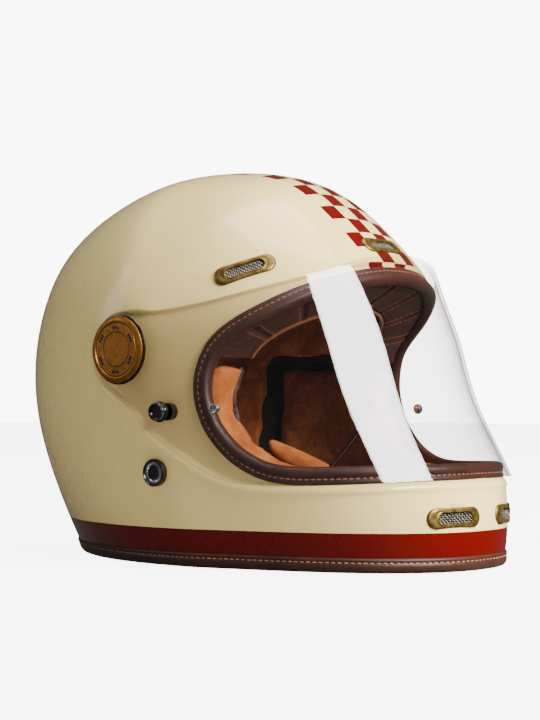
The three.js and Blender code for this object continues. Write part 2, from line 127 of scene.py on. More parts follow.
def place_camera():
    lens = bpy.data.cameras.new("camera")
    lens.lens = 87.5
    lens.sensor_width = 36
    lens.clip_start, lens.clip_end = 0.05, 50
    camera = shown("camera", lens)
    camera.location = CAMERA_PLACE
    aim(camera, CAMERA_PLACE + CAMERA_LOOK)
    bpy.context.scene.camera = camera


def studio_air():
    """A dim even light all round, which looks white where it is seen directly."""
    world = bpy.data.worlds.new("studio_air")
    bpy.context.scene.world = world
    world.use_nodes = True
    nodes, links = world.node_tree.nodes, world.node_tree.links
    air = nodes["Background"]
    air.inputs["Color"].default_value = (1.0, 0.985, 0.97, 1)
    air.inputs["Strength"].default_value = AIR_LIGHT
    seen = nodes.new("ShaderNodeBackground")
    seen.inputs["Color"].default_value = (1, 1, 1, 1)
    seen.inputs["Strength"].default_value = AIR_SEEN
    rays = nodes.new("ShaderNodeLightPath")
    both = nodes.new("ShaderNodeMixShader")
    links.new(rays.outputs["Is Camera Ray"], both.inputs[0])
    links.new(air.outputs[0], both.inputs[1])
    links.new(seen.outputs[0], both.inputs[2])
    links.new(both.outputs[0], nodes["World Output"].inputs[0])


def floor_paper():
    """Pale paper that glows only to the camera, so that it lights the helmet no more than paper."""
    paper = bpy.data.materials.new("floor_paper")
    paper.use_nodes = True
    nodes, links = paper.node_tree.nodes, paper.node_tree.links
    base = nodes["Principled BSDF"]
    base.inputs["Base Color"].default_value = (0.4, 0.385, 0.37, 1)
    base.inputs["Roughness"].default_value = 0.9
    base.inputs["Emission Color"].default_value = (1, 1, 1, 1)
    rays = nodes.new("ShaderNodeLightPath")
    glow = nodes.new("ShaderNodeMath")
    glow.operation = "MULTIPLY"
    glow.inputs[1].default_value = PAPER_SEEN
    links.new(rays.outputs["Is Camera Ray"], glow.inputs[0])
    links.new(glow.outputs[0], base.inputs["Emission Strength"])
    return paper


def lay_floor():
    floor = bpy.data.meshes.new("floor")
    floor.from_pydata([(-9, -9, 0), (9, -9, 0), (9, 9, 0), (-9, 9, 0)], [], [(0, 1, 2, 3)])
    floor.materials.append(floor_paper())
    obj = shown("floor", floor)
    obj.location = (0, 0, -0.0004)
    obj.visible_glossy = False


def hang_lamps():
    soft_box("key_lamp", (0.25, -1.75, 1.05), HELMET_MIDDLE, (1.1, 1.1), 190, (1.0, 0.955, 0.88),
             glossy=False)
    soft_box("top_lamp", (-0.1, -0.2, 2.1), HELMET_MIDDLE, (1.4, 1.0), 40, (1.0, 0.98, 0.93))
    soft_box("rim_lamp", (-1.3, 1.5, 0.9), HELMET_MIDDLE, (0.5, 1.4), 6, (1.0, 0.93, 0.92))
    soft_box("strip_lamp", STRIP_PLACE, (STRIP_PLACE[0], 0, STRIP_PLACE[2]), (1.62, 1.15), 250,
             diffuse=False)


place_camera()
studio_air()
lay_floor()
hang_lamps()

# ---------------------------------------------------------------- the bulged surfaces


def ring_value(values, angle):
    """Uniform cubic B-spline through a ring of control values, at angles in radians."""
    values = np.asarray(values, float)
    count = len(values)
    place = (np.asarray(angle, float) / (2 * math.pi) * count) % count
    first = np.floor(place).astype(int)
    t = place - first
    weights = [(1 - t) ** 3 / 6, (3 * t**3 - 6 * t**2 + 4) / 6,
               (-3 * t**3 + 3 * t**2 + 3 * t + 1) / 6, t**3 / 6]
    return sum(w * values[(first + k - 1) % count] for k, w in enumerate(weights))


def taper_at(form, dy, dz):
    ahead = np.maximum(0, dy * math.cos(TAPER_DIRECTION) + dz * math.sin(TAPER_DIRECTION))
    return 1 - form["taper"] * ahead**2 / (ahead**2 + TAPER_LENGTH**2)


def surface(form, inset, angle, lean):
    """Points at angles round the pivot axis and leans from the mid-plane out to the side."""
    power = 2 / ring_value(form["fullness"], angle)
    radius = (ring_value(form["radii"], angle) - inset) * np.cos(lean) ** power
    dy, dz = radius * np.cos(angle), radius * np.sin(angle)
    side = (form["half_width"] - inset) * np.abs(np.sin(lean)) ** power
    x = np.sign(lean) * side * taper_at(form, dy, dz)
    return np.stack([x, PIVOT[0] + dy, PIVOT[1] + dz], axis=-1)


def level(form, inset, points):
    """1 on the surface, less inside it."""
    points = np.asarray(points, float)
    dy, dz = points[..., 1] - PIVOT[0], points[..., 2] - PIVOT[1]
    angle = np.arctan2(dz, dy)
    n = ring_value(form["fullness"], angle)
    side = (form["half_width"] - inset) * taper_at(form, dy, dz)
    radius = ring_value(form["radii"], angle) - inset
    return ((np.abs(points[..., 0]) / side) ** n + (np.hypot(dy, dz) / radius) ** n) ** (1 / n)


def side_x(form, inset, y, z):
    """How far out the surface stands at places in the side view."""
    dy, dz = np.asarray(y, float) - PIVOT[0], np.asarray(z, float) - PIVOT[1]
    angle = np.arctan2(dz, dy)
    n = ring_value(form["fullness"], angle)
    rise = (np.hypot(dy, dz) / (ring_value(form["radii"], angle) - inset)) ** n
    side = (form["half_width"] - inset) * taper_at(form, dy, dz)
    return side * np.maximum(0, 1 - rise) ** (1 / n)


def normals_at(form, points, step=0.5):
    """Outward directions at places near the surface."""
    slopes = []
    for axis in range(3):
        move = np.zeros(3)
        move[axis] = step
        slopes.append(level(form, 0, points + move) - level(form, 0, points - move))
    slope = np.stack(slopes, axis=-1)
    return slope / np.linalg.norm(slope, axis=-1, keepdims=True)


def drop(form, inset, points, direction, reach=30.0):
    """Moves points along a direction until they lie on the surface."""
    points, direction = np.asarray(points, float), np.asarray(direction, float)
    low = np.full(points.shape[:-1], -reach)
    high = np.full(points.shape[:-1], reach)
    for _ in range(34):
        mid = (low + high) / 2
        inside = level(form, inset, points + direction * mid[..., None]) < 1
        low, high = np.where(inside, mid, low), np.where(inside, high, mid)
    return points + direction * ((low + high) / 2)[..., None]


# ---------------------------------------------------------------- outlines in the side view


def smooth_edge(points, grow=0.0, count=1600):
    """Dense points along a smooth curve through the outline, moved away from the opening."""
    p = np.asarray(points, float)
    place = np.linspace(0, 1, count + 1) * (len(p) - 1)
    first = np.minimum(np.floor(place).astype(int), len(p) - 2)
    t = (place - first)[:, None]
    at = [p[np.clip(first + k, 0, len(p) - 1)] for k in (-1, 0, 1, 2)]
    v0, v1 = (at[2] - at[0]) / 2, (at[3] - at[1]) / 2
    curve = ((2 * at[1] - 2 * at[2] + v0 + v1) * t**3
             + (-3 * at[1] + 3 * at[2] - 2 * v0 - v1) * t**2 + v0 * t + at[1])
    run = np.gradient(curve, axis=0)
    run /= np.linalg.norm(run, axis=1, keepdims=True)
    return curve + grow * np.stack([-run[:, 1], run[:, 0]], axis=1)


def inside_by(edge, y, z):
    """How far places in the side view lie inside an open-fronted outline; less than 0 outside."""
    places = np.stack([np.ravel(y), np.ravel(z)], axis=1)
    best = np.full(len(places), 1e9)
    sign = np.zeros(len(places))
    run = np.gradient(edge, axis=0)
    for start in range(0, len(edge), 200):
        part = edge[start:start + 200]
        gap = places[:, None, :] - part[None, :, :]
        far = (gap**2).sum(axis=2)
        k = far.argmin(axis=1)
        rows = np.arange(len(places))
        nearer = far[rows, k] < best
        cross = (run[start + k, 0] * gap[rows, k, 1] - run[start + k, 1] * gap[rows, k, 0])
        sign = np.where(nearer, cross, sign)
        best = np.where(nearer, far[rows, k], best)
    return (np.sqrt(best) * -np.sign(sign)).reshape(np.shape(y))


def along(points, closed):
    """Distance run at each point, and the whole length."""
    ends = np.vstack([points, points[:1]]) if closed else points
    steps = np.linalg.norm(np.diff(ends, axis=0), axis=1)
    return np.concatenate([[0], np.cumsum(steps)])


def evenly(points, count, closed=True):
    """The same path with evenly spaced points."""
    run = along(points, closed)
    ends = np.vstack([points, points[:1]]) if closed else points
    places = np.linspace(0, run[-1], count, endpoint=not closed)
    return np.stack([np.interp(places, run, ends[:, k]) for k in range(3)], axis=1)


def eased(low, high, value):
    t = np.clip((value - low) / (high - low), 0, 1)
    return t * t * (3 - 2 * t)


def side_loop(outline, grow, inset, count):
    """The closed loop that a side-view outline cuts in the dome, right side from the top down."""
    edge = smooth_edge(outline, grow)
    x = side_x(DOME, inset, edge[:, 0], edge[:, 1])
    keep = x > 0
    right = np.column_stack([-x[keep], edge[keep]])
    left = right[::-1] * [-1, 1, 1]
    return evenly(np.vstack([right, left]), count)


# ---------------------------------------------------------------- meshes


def piece(name, points, faces, material, smooth=True, angle=None):
    """A mesh object from points in millimetres."""
    mesh = bpy.data.meshes.new(name)
    mesh.from_pydata((np.asarray(points, float) * MM).tolist(), [], faces)
    return finish_mesh(name, mesh, material, smooth, angle)


def finish_mesh(name, mesh, material, smooth=True, angle=None):
    mesh.validate()
    obj = shown(name, mesh)
    if material is not None:
        mesh.materials.clear()
        mesh.materials.append(material)
    if smooth:
        mesh.shade_smooth()
    if angle is not None:
        mesh.set_sharp_from_angle(angle=math.radians(angle))
    return obj


def face_out(obj):
    """Turns a closed mesh's faces outward."""
    work = bmesh.new()
    work.from_mesh(obj.data)
    bmesh.ops.recalc_face_normals(work, faces=work.faces)
    work.to_mesh(obj.data)
    work.free()
    return obj


def lattice(rows, columns, close_rows=True, close_columns=True):
    """Quads over a grid of points, row by row."""
    faces = []
    for i in range(rows if close_rows else rows - 1):
        for j in range(columns if close_columns else columns - 1):
            a, b = i * columns + j, i * columns + (j + 1) % columns
            c, d = ((i + 1) % rows) * columns + (j + 1) % columns, ((i + 1) % rows) * columns + j
            faces.append((a, b, c, d))
    return faces


def swept(name, rings, material, closed=True):
    """A closed skin over rings of points, capped where the sweep is open."""
    rows, columns = rings.shape[:2]
    faces = lattice(rows, columns, close_rows=closed)
    if not closed:
        faces.append(tuple(range(columns))[::-1])
        faces.append(tuple(range((rows - 1) * columns, rows * columns)))
    return face_out(piece(name, rings.reshape(-1, 3), faces, material))


def round_bar(name, path, radius, material, sides=10):
    """A round cord or bead along an open path, tapered shut at both ends."""
    path = np.asarray(path, float)
    count = len(path)
    run = np.gradient(path, axis=0)
    run /= np.linalg.norm(run, axis=1, keepdims=True)
    turn = np.linspace(0, 2 * math.pi, sides, endpoint=False)[:, None]
    side = np.cross(run[0], [0.3, 0.5, 0.8])
    rings = []
    for k in range(count):
        side = side - run[k] * side.dot(run[k])
        side /= np.linalg.norm(side)
        over = np.cross(run[k], side)
        fade = min(1.0, 0.25 + min(k, count - 1 - k) * 0.4)
        rings.append(path[k] + radius * fade * (side * np.cos(turn) + over * np.sin(turn)))
    return swept(name, np.array(rings), material, closed=False)


def turned(name, profile, place, material, segments=96, angle=32):
    """A solid of revolution about a line along X, on the wearer's right. The profile runs
    [radius, out] from the middle of the outer face to the middle of the inner one; out is how
    far it stands from x 0."""
    turn = np.linspace(0, 2 * math.pi, segments, endpoint=False)
    points, faces, rows = [], [], []
    for radius, out in profile:
        if radius == 0:
            rows.append([len(points)])
            points.append((-out, place[0], place[1]))
        else:
            rows.append(list(range(len(points), len(points) + segments)))
            points += [(-out, place[0] + radius * math.cos(t), place[1] + radius * math.sin(t))
                       for t in turn]
    for upper, lower in zip(rows, rows[1:]):
        for k in range(segments):
            n = (k + 1) % segments
            ring = [upper[k % len(upper)], upper[n % len(upper)], lower[n % len(lower)],
                    lower[k % len(lower)]]
            faces.append(tuple(dict.fromkeys(ring)))
    return face_out(piece(name, points, faces, material, angle=angle))


def joined(name, parts):
    """Several objects made one mesh."""
    work = bmesh.new()
    materials = []
    for part in parts:
        before = len(work.faces)
        work.from_mesh(part.data)
        work.faces.ensure_lookup_table()
        for face in work.faces[before:]:
            material = part.data.materials[face.material_index]
            if material not in materials:
                materials.append(material)
            face.material_index = materials.index(material)
    mesh = bpy.data.meshes.new(name)
    work.to_mesh(mesh)
    work.free()
    for part in parts:
        bpy.data.objects.remove(part)
    for material in materials:
        mesh.materials.append(material)
    return shown(name, mesh)


def settle(obj, body, slot, *nodes):
    """Rides a finished piece on its body and hides the CAD nodes it stands in for."""
    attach(obj, body)
    if nodes:
        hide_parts(*nodes)
    return obj


def apply_modifiers(obj):
    """Makes an object's modifiers part of its mesh."""
    graph = bpy.context.evaluated_depsgraph_get()
    mesh = bpy.data.meshes.new_from_object(obj.evaluated_get(graph))
    old = obj.data
    obj.modifiers.clear()
    obj.data = mesh
    bpy.data.meshes.remove(old)
    return obj


def cut(obj, cutter, operation="DIFFERENCE"):
    """Cuts one closed mesh with another, which is then removed."""
    tool = obj.modifiers.new("cut", "BOOLEAN")
    tool.operation = operation
    tool.solver = "EXACT"
    tool.object = cutter
    apply_modifiers(obj)
    bpy.data.objects.remove(cutter)
    return obj


def mirrored(obj, name):
    """The same piece on the wearer's left."""
    mesh = obj.data.copy()
    mesh.transform(Matrix.Scale(-1, 4, (1, 0, 0)))
    mesh.flip_normals()
    return shown(name, mesh)


# ---------------------------------------------------------------- repeating details


def add_node(tree, kind, inputs, settings):
    """Adds a node, sets its properties, and links or fills its inputs."""
    made = tree.nodes.new(kind)
    for key, value in settings.items():
        setattr(made, key, value)
    for key, value in dict(inputs).items():
        if isinstance(value, bpy.types.NodeSocket):
            tree.links.new(value, made.inputs[key])
        else:
            made.inputs[key].default_value = value
    return made


class Tree:
    """A geometry node tree with named inputs."""

    def __init__(self, name):
        self.tree = bpy.data.node_groups.new(name, "GeometryNodeTree")
        self.tree.interface.new_socket("Geometry", in_out="INPUT", socket_type="NodeSocketGeometry")
        self.tree.interface.new_socket("Geometry", in_out="OUTPUT", socket_type="NodeSocketGeometry")
        self.inlet = self.tree.nodes.new("NodeGroupInput")
        self.outlet = self.tree.nodes.new("NodeGroupOutput")
        self.names = {}

    def take(self, name, kind="NodeSocketFloat"):
        socket = self.tree.interface.new_socket(name, in_out="INPUT", socket_type=kind)
        self.names[name] = socket.identifier
        return self.inlet.outputs[name]

    def node(self, kind, inputs=(), **settings):
        return add_node(self.tree, kind, inputs, settings)

    def close(self, geometry, material):
        real = self.node("GeometryNodeRealizeInstances", {"Geometry": geometry})
        skin = self.node("GeometryNodeSetMaterial", {"Geometry": real.outputs[0],
                                                     "Material": material})
        self.tree.links.new(skin.outputs[0], self.outlet.inputs[0])

    def grow(self, name, host, values):
        """Runs the tree on a host object and keeps the result as a plain mesh."""
        modifier = host.modifiers.new("grow", "NODES")
        modifier.node_group = self.tree
        for key, value in values.items():
            modifier[self.names[key]] = value
        host.update_tag()
        graph = bpy.context.evaluated_depsgraph_get()
        mesh = bpy.data.meshes.new_from_object(host.evaluated_get(graph))
        mesh.name = name
        mesh.shade_smooth()
        bpy.data.objects.remove(host)
        return shown(name, mesh)


def thread_tree():
    """Long thin stitches, evenly spaced along a path of edges."""
    tree = Tree("stitch_row")
    pitch = tree.take("Pitch")
    length = tree.take("Length")
    girth = tree.take("Girth")
    skin = tree.take("Thread", "NodeSocketMaterial")
    line = tree.node("GeometryNodeMeshToCurve", {"Mesh": tree.inlet.outputs["Geometry"]})
    even = tree.node("GeometryNodeResampleCurve", {"Curve": line.outputs[0], "Length": pitch},
                     mode="LENGTH")
    bead = tree.node("GeometryNodeMeshUVSphere", {"Segments": 6, "Rings": 5, "Radius": 0.5})
    way = tree.node("GeometryNodeInputTangent")
    turn = tree.node("FunctionNodeAlignRotationToVector", {"Vector": way.outputs[0]}, axis="X")
    size = tree.node("ShaderNodeCombineXYZ", {"X": length, "Y": girth, "Z": girth})
    rows = tree.node("GeometryNodeInstanceOnPoints", {
        "Points": even.outputs[0], "Instance": bead.outputs[0],
        "Rotation": turn.outputs[0], "Scale": size.outputs[0]})
    tree.close(rows.outputs[0], skin)
    return tree


def ring_tree():
    """Copies of one small shape round a line along X."""
    tree = Tree("ring_of_marks")
    count = tree.take("Count", "NodeSocketInt")
    middle = tree.take("Middle", "NodeSocketVector")
    skin = tree.take("Finish", "NodeSocketMaterial")
    one = tree.node("GeometryNodeGeometryToInstance", {"Geometry": tree.inlet.outputs["Geometry"]})
    many = tree.node("GeometryNodeDuplicateElements", {"Geometry": one.outputs[0], "Amount": count},
                     domain="INSTANCE")
    share = tree.node("ShaderNodeMath", {0: 2 * math.pi, 1: count}, operation="DIVIDE")
    angle = tree.node("ShaderNodeMath", {0: share.outputs[0], 1: many.outputs["Duplicate Index"]},
                      operation="MULTIPLY")
    spin = tree.node("ShaderNodeCombineXYZ", {"X": angle.outputs[0]})
    placed = tree.node("GeometryNodeRotateInstances", {
        "Instances": many.outputs[0], "Rotation": spin.outputs[0], "Pivot Point": middle,
        "Local Space": False})
    tree.close(placed.outputs[0], skin)
    return tree


def weave_tree():
    """A woven wire cloth: two sets of wavy wires that pass over and under each other."""
    tree = Tree("wire_cloth")
    pitch = tree.take("Pitch")
    half_long = tree.take("Half length")
    half_wide = tree.take("Half width")
    wire = tree.take("Wire radius")
    skin = tree.take("Wire", "NodeSocketMaterial")
    sets = []
    for axis, (run, spread) in enumerate(((half_long, half_wide), (half_wide, half_long))):
        back = tree.node("ShaderNodeMath", {0: run, 1: -1.0}, operation="MULTIPLY")
        start = tree.node("ShaderNodeCombineXYZ", {"XY"[axis]: back.outputs[0]})
        end = tree.node("ShaderNodeCombineXYZ", {"XY"[axis]: run})
        line = tree.node("GeometryNodeCurvePrimitiveLine",
                         {"Start": start.outputs[0], "End": end.outputs[0]})
        third = tree.node("ShaderNodeMath", {0: pitch, 1: 0.34}, operation="MULTIPLY")
        fine = tree.node("GeometryNodeResampleCurve",
                         {"Curve": line.outputs[0], "Length": third.outputs[0]}, mode="LENGTH")
        wide = tree.node("ShaderNodeMath", {0: spread, 1: 2.0}, operation="MULTIPLY")
        gaps = tree.node("ShaderNodeMath", {0: wide.outputs[0], 1: pitch}, operation="DIVIDE")
        number = tree.node("ShaderNodeMath", {0: gaps.outputs[0], 1: 1.0}, operation="ADD")
        low = tree.node("ShaderNodeMath", {0: spread, 1: -1.0}, operation="MULTIPLY")
        corner = tree.node("ShaderNodeCombineXYZ", {"YX"[axis]: low.outputs[0]})
        step = tree.node("ShaderNodeCombineXYZ", {"YX"[axis]: pitch})
        row = tree.node("GeometryNodeMeshLine", {
            "Count": number.outputs[0], "Start Location": corner.outputs[0],
            "Offset": step.outputs[0]})
        laid = tree.node("GeometryNodeInstanceOnPoints",
                         {"Points": row.outputs[0], "Instance": fine.outputs[0]})
        real = tree.node("GeometryNodeRealizeInstances", {"Geometry": laid.outputs[0]})
        where = tree.node("GeometryNodeInputPosition")
        parts = tree.node("ShaderNodeSeparateXYZ", {0: where.outputs[0]})
        waves = []
        for key, edge in (("X", half_long), ("Y", half_wide)):
            off = tree.node("ShaderNodeMath", {0: parts.outputs[key], 1: edge}, operation="ADD")
            turns = tree.node("ShaderNodeMath", {0: off.outputs[0], 1: pitch}, operation="DIVIDE")
            phase = tree.node("ShaderNodeMath", {0: turns.outputs[0], 1: math.pi},
                              operation="MULTIPLY")
            waves.append(tree.node("ShaderNodeMath", {0: phase.outputs[0]}, operation="COSINE"))
        both = tree.node("ShaderNodeMath", {0: waves[0].outputs[0], 1: waves[1].outputs[0]},
                         operation="MULTIPLY")
        sign = tree.node("ShaderNodeMath", {0: wire, 1: 1.0 - 2.0 * axis}, operation="MULTIPLY")
        height = tree.node("ShaderNodeMath", {0: both.outputs[0], 1: sign.outputs[0]},
                           operation="MULTIPLY")
        lift = tree.node("ShaderNodeCombineXYZ", {"Z": height.outputs[0]})
        wavy = tree.node("GeometryNodeSetPosition",
                         {"Geometry": real.outputs[0], "Offset": lift.outputs[0]})
        section = tree.node("GeometryNodeCurvePrimitiveCircle", {"Resolution": 5, "Radius": wire})
        tube = tree.node("GeometryNodeCurveToMesh", {
            "Curve": wavy.outputs[0], "Profile Curve": section.outputs[0], "Fill Caps": True})
        sets.append(tube)
    cloth = tree.node("GeometryNodeJoinGeometry")
    for tube in sets:
        tree.tree.links.new(tube.outputs[0], cloth.inputs[0])
    tree.close(cloth.outputs[0], skin)
    return tree


STITCH_ROW = thread_tree()
RING_OF_MARKS = ring_tree()
WIRE_CLOTH = weave_tree()


def stitches(name, path, thread, closed=False, pitch=3.7, length=2.7, girth=0.75):
    """A row of stitches along a path in millimetres."""
    path = np.asarray(path, float)
    mesh = bpy.data.meshes.new(name + "_path")
    edges = [(k, k + 1) for k in range(len(path) - 1)]
    if closed:
        edges.append((len(path) - 1, 0))
    mesh.from_pydata((path * MM).tolist(), edges, [])
    host = shown(name + "_path", mesh)
    return STITCH_ROW.grow(name, host, {
        "Pitch": pitch * MM, "Length": length * MM, "Girth": girth * MM, "Thread": thread})


# ---------------------------------------------------------------- finishes


class Finish:
    """A procedural material on a Principled shader, patterned on Object coordinates."""

    def __init__(self, name, **constants):
        self.material = bpy.data.materials.new(name)
        self.material.use_nodes = True
        self.tree = self.material.node_tree
        self.shader = self.tree.nodes["Principled BSDF"]
        for key, value in constants.items():
            self.shader.inputs[key.replace("_", " ")].default_value = value
        self.place = self.tree.nodes.new("ShaderNodeTexCoord").outputs["Object"]

    def node(self, kind, inputs=(), **settings):
        return add_node(self.tree, kind, inputs, settings)

    def noise(self, scale, detail=4.0, roughness=0.55):
        return self.node("ShaderNodeTexNoise", {
            "Vector": self.place, "Scale": scale, "Detail": detail, "Roughness": roughness,
        }).outputs["Fac"]

    def cells(self, scale, feature="F1"):
        return self.node("ShaderNodeTexVoronoi", {"Vector": self.place, "Scale": scale},
                         feature=feature).outputs["Distance"]

    def ramp(self, value, *stops):
        made = self.node("ShaderNodeValToRGB", {"Fac": value})
        steps = made.color_ramp.elements
        while len(steps) < len(stops):
            steps.new(0.5)
        for step, (place, color) in zip(steps, stops):
            step.position = place
            step.color = (*color, 1) if len(color) == 3 else color
        return made.outputs["Color"]

    def math(self, operation, first, second=0.0):
        return self.node("ShaderNodeMath", {0: first, 1: second}, operation=operation).outputs[0]

    def mix(self, share, first, second, **settings):
        """A blend of two colours."""
        return self.node("ShaderNodeMix", {0: share, 6: first, 7: second},
                         data_type="RGBA", **settings).outputs[2]

    def link(self, value, socket):
        self.tree.links.new(value, self.shader.inputs[socket])

    def bump(self, height, strength, distance):
        made = self.node("ShaderNodeBump", {"Height": height, "Strength": strength,
                                            "Distance": distance})
        self.link(made.outputs[0], "Normal")


def grey(value):
    return (value, value, value)


CREAM = (0.74, 0.595, 0.245, 1)
OXBLOOD = (0.085, 0.0008, 0.0004, 1)
BAND_TOP = 0.0228
COLUMN = 12.5
ROW = 13.0


def shell_lacquer():
    """Cream lacquer with the chequered stripe and the band, all under one clear coat."""
    f = Finish("shell_lacquer", Roughness=0.4, Specular_IOR_Level=0.15, Coat_Weight=0.8,
               Coat_Roughness=0.11, Coat_IOR=1.45)
    uv = f.node("ShaderNodeUVMap", uv_map="stripe").outputs[0]
    parts = f.node("ShaderNodeSeparateXYZ", {0: uv})
    column = f.math("FLOOR", parts.outputs[0])
    row = f.math("FLOOR", parts.outputs[1])
    odd = f.math("FLOORED_MODULO", f.math("ADD", column, row), 2.0)
    across = f.math("ABSOLUTE", parts.outputs[0])
    on_crown = f.math("MULTIPLY", f.math("LESS_THAN", across, 2.0),
                      f.math("GREATER_THAN", parts.outputs[1], -3.0))
    stripe = f.math("MULTIPLY", odd, on_crown)
    height = f.node("ShaderNodeSeparateXYZ", {0: f.place}).outputs["Z"]
    band = f.math("LESS_THAN", height, BAND_TOP)
    red = f.math("MAXIMUM", stripe, band)
    drift = f.ramp(f.noise(9.0, 2.0), (0.3, grey(0.965)), (0.7, grey(1.0)))
    body = f.mix(1.0, CREAM, drift, blend_type="MULTIPLY")
    f.link(f.mix(red, body, OXBLOOD), "Base Color")
    f.link(f.ramp(f.noise(60.0, 3.0), (0.3, grey(0.26)), (0.7, grey(0.34))), "Roughness")
    return f.material


def leather(name, dark, light, grain=1500.0, sheen=0.12):
    f = Finish(name, Sheen_Weight=sheen, Sheen_Roughness=0.5, Specular_IOR_Level=0.42)
    tone = f.noise(38.0, 5.0)
    f.link(f.ramp(tone, (0.3, dark), (0.72, light)), "Base Color")
    pores = f.cells(grain)
    f.link(f.ramp(pores, (0.05, grey(0.56)), (0.6, grey(0.4))), "Roughness")
    crease = f.noise(520.0, 6.0, 0.65)
    f.bump(f.math("ADD", pores, f.math("MULTIPLY", crease, 1.4)), 0.45, 0.00022)
    return f.material


def suede(name, dark, mid, light):
    f = Finish(name, Roughness=0.95, Sheen_Weight=0.22, Sheen_Roughness=0.45,
               Sheen_Tint=(1.0, 0.6, 0.3, 1), Specular_IOR_Level=0.12)
    patches = f.noise(55.0, 6.0, 0.7)
    fibres = f.noise(1300.0, 4.0, 0.7)
    both = f.math("ADD", f.math("MULTIPLY", patches, 0.7), f.math("MULTIPLY", fibres, 0.3))
    f.link(f.ramp(both, (0.36, dark), (0.5, mid), (0.64, light)), "Base Color")
    f.bump(fibres, 0.5, 0.0004)
    return f.material


def aged_brass(name, bright, dull, metal=0.9, rough=0.34):
    f = Finish(name, Metallic=metal)
    stains = f.noise(260.0, 8.0, 0.7)
    f.link(f.ramp(stains, (0.36, dull), (0.62, bright)), "Base Color")
    f.link(f.ramp(f.noise(700.0, 5.0), (0.3, grey(rough + 0.14)), (0.7, grey(rough))), "Roughness")
    f.bump(f.noise(1800.0, 4.0), 0.12, 0.0001)
    return f.material


def metal(name, tint, rough):
    f = Finish(name, Metallic=1.0)
    f.link(f.ramp(f.noise(300.0, 4.0), (0.3, tint), (0.7, tuple(c * 0.86 for c in tint))),
           "Base Color")
    f.link(f.ramp(f.noise(900.0, 3.0), (0.3, grey(rough)), (0.7, grey(rough + 0.08))), "Roughness")
    return f.material


def moulded(name, tint, rough, grain=900.0, strength=0.06):
    f = Finish(name, Specular_IOR_Level=0.5)
    f.link(f.ramp(f.noise(140.0, 4.0), (0.3, tint), (0.7, tuple(c * 1.5 for c in tint))),
           "Base Color")
    f.link(f.ramp(f.noise(500.0, 3.0), (0.3, grey(rough)), (0.7, grey(rough + 0.08))), "Roughness")
    f.bump(f.noise(grain, 3.0), strength, 0.0002)
    return f.material


def bead_foam_and_painted_shade():
    f = Finish("bead_foam_and_painted_shade", Roughness=0.85)
    beads = f.cells(330.0)
    # Dark bead foam whose brown is partly painted shade: it is tinted the brown of the shade seen
    # through the gaps between the pads.
    f.link(f.ramp(beads, (0.1, (0.034, 0.012, 0.005)), (0.6, (0.014, 0.005, 0.002))), "Base Color")
    f.bump(beads, 0.5, 0.0005)
    return f.material


def woven_webbing():
    f = Finish("woven_webbing", Roughness=0.8, Sheen_Weight=0.25)
    ribs = f.node("ShaderNodeTexWave", {"Vector": f.place, "Scale": 260.0, "Distortion": 0.6},
                  bands_direction="DIAGONAL").outputs["Fac"]
    cross = f.node("ShaderNodeTexWave", {"Vector": f.place, "Scale": 190.0, "Distortion": 0.4},
                   bands_direction="Y").outputs["Fac"]
    weave = f.math("MULTIPLY", ribs, cross)
    f.link(f.ramp(weave, (0.1, grey(0.006)), (0.8, grey(0.03))), "Base Color")
    f.bump(weave, 0.6, 0.0003)
    return f.material


def twisted_thread():
    f = Finish("copper_thread", Roughness=0.6, Sheen_Weight=0.3)
    f.link(f.ramp(f.noise(900.0, 3.0), (0.3, (0.24, 0.07, 0.022)), (0.7, (0.46, 0.16, 0.06))),
           "Base Color")
    return f.material


def clear_sheet():
    """Clear polycarbonate: see-through, and more of a mirror at a glancing angle."""
    f = Finish("clear_visor", Metallic=1.0, Roughness=0.015)
    f.link(f.ramp(f.noise(30.0, 2.0), (0.3, grey(0.97)), (0.7, grey(1.0))), "Base Color")
    tint = f.node("ShaderNodeBsdfTransparent", {"Color": (0.915, 0.897, 0.9, 1)})
    facing = f.node("ShaderNodeLayerWeight", {"Blend": 0.5}).outputs["Facing"]
    mirror = f.math("ADD", f.math("MULTIPLY", f.math("POWER", facing, 4.5), 0.75), 0.042)
    both = f.node("ShaderNodeMixShader", {0: mirror, 1: tint.outputs[0], 2: f.shader.outputs[0]})
    output = next(n for n in f.tree.nodes if n.type == "OUTPUT_MATERIAL")
    f.tree.links.new(both.outputs[0], output.inputs["Surface"])
    return f.material


LACQUER = shell_lacquer()
RAW_SHELL = moulded("raw_laminate", (0.05, 0.045, 0.035), 0.6, 240.0, 0.5)
TRIM_LEATHER = leather("trim_leather", (0.027, 0.0088, 0.0052), (0.054, 0.0182, 0.0108), sheen=0.02)
PAD_LEATHER = leather("pad_leather", (0.03, 0.0105, 0.0066), (0.06, 0.0225, 0.0143), 1300.0, 0.02)
TAN_SUEDE = suede("tan_suede", (0.17, 0.045, 0.009), (0.28, 0.086, 0.019), (0.38, 0.14, 0.037))
BROWN_SUEDE = suede("brown_suede", (0.19, 0.056, 0.014), (0.33, 0.102, 0.025), (0.47, 0.165, 0.045))
TAN_PIPING = leather("tan_piping", (0.13, 0.042, 0.014), (0.22, 0.08, 0.028), 1700.0)
THREAD = twisted_thread()
VENT_BRASS = aged_brass("vent_brass", (0.31, 0.20, 0.052), (0.085, 0.055, 0.015), 0.85, 0.34)
CAP_BRONZE = aged_brass("cap_bronze", (0.36, 0.15, 0.026), (0.25, 0.10, 0.017), 0.85, 0.3)
WIRE = metal("wire", (0.30, 0.27, 0.22), 0.34)
STEEL = metal("steel", (0.62, 0.62, 0.63), 0.2)
DARK_STEEL = metal("dark_steel", (0.16, 0.16, 0.17), 0.3)
BLACK = moulded("gloss_black", grey(0.006), 0.14)
INK = moulded("dark_inlay", (0.012, 0.007, 0.004), 0.4)
FOAM_AND_PAINTED_SHADE = bead_foam_and_painted_shade()
WEBBING = woven_webbing()
CLEAR = clear_sheet()

# ---------------------------------------------------------------- outer shell

RIDGE_ANGLE = math.atan2(181 - PIVOT[1], -102.7 - PIVOT[0])
BEAD_HEIGHT = 1.1


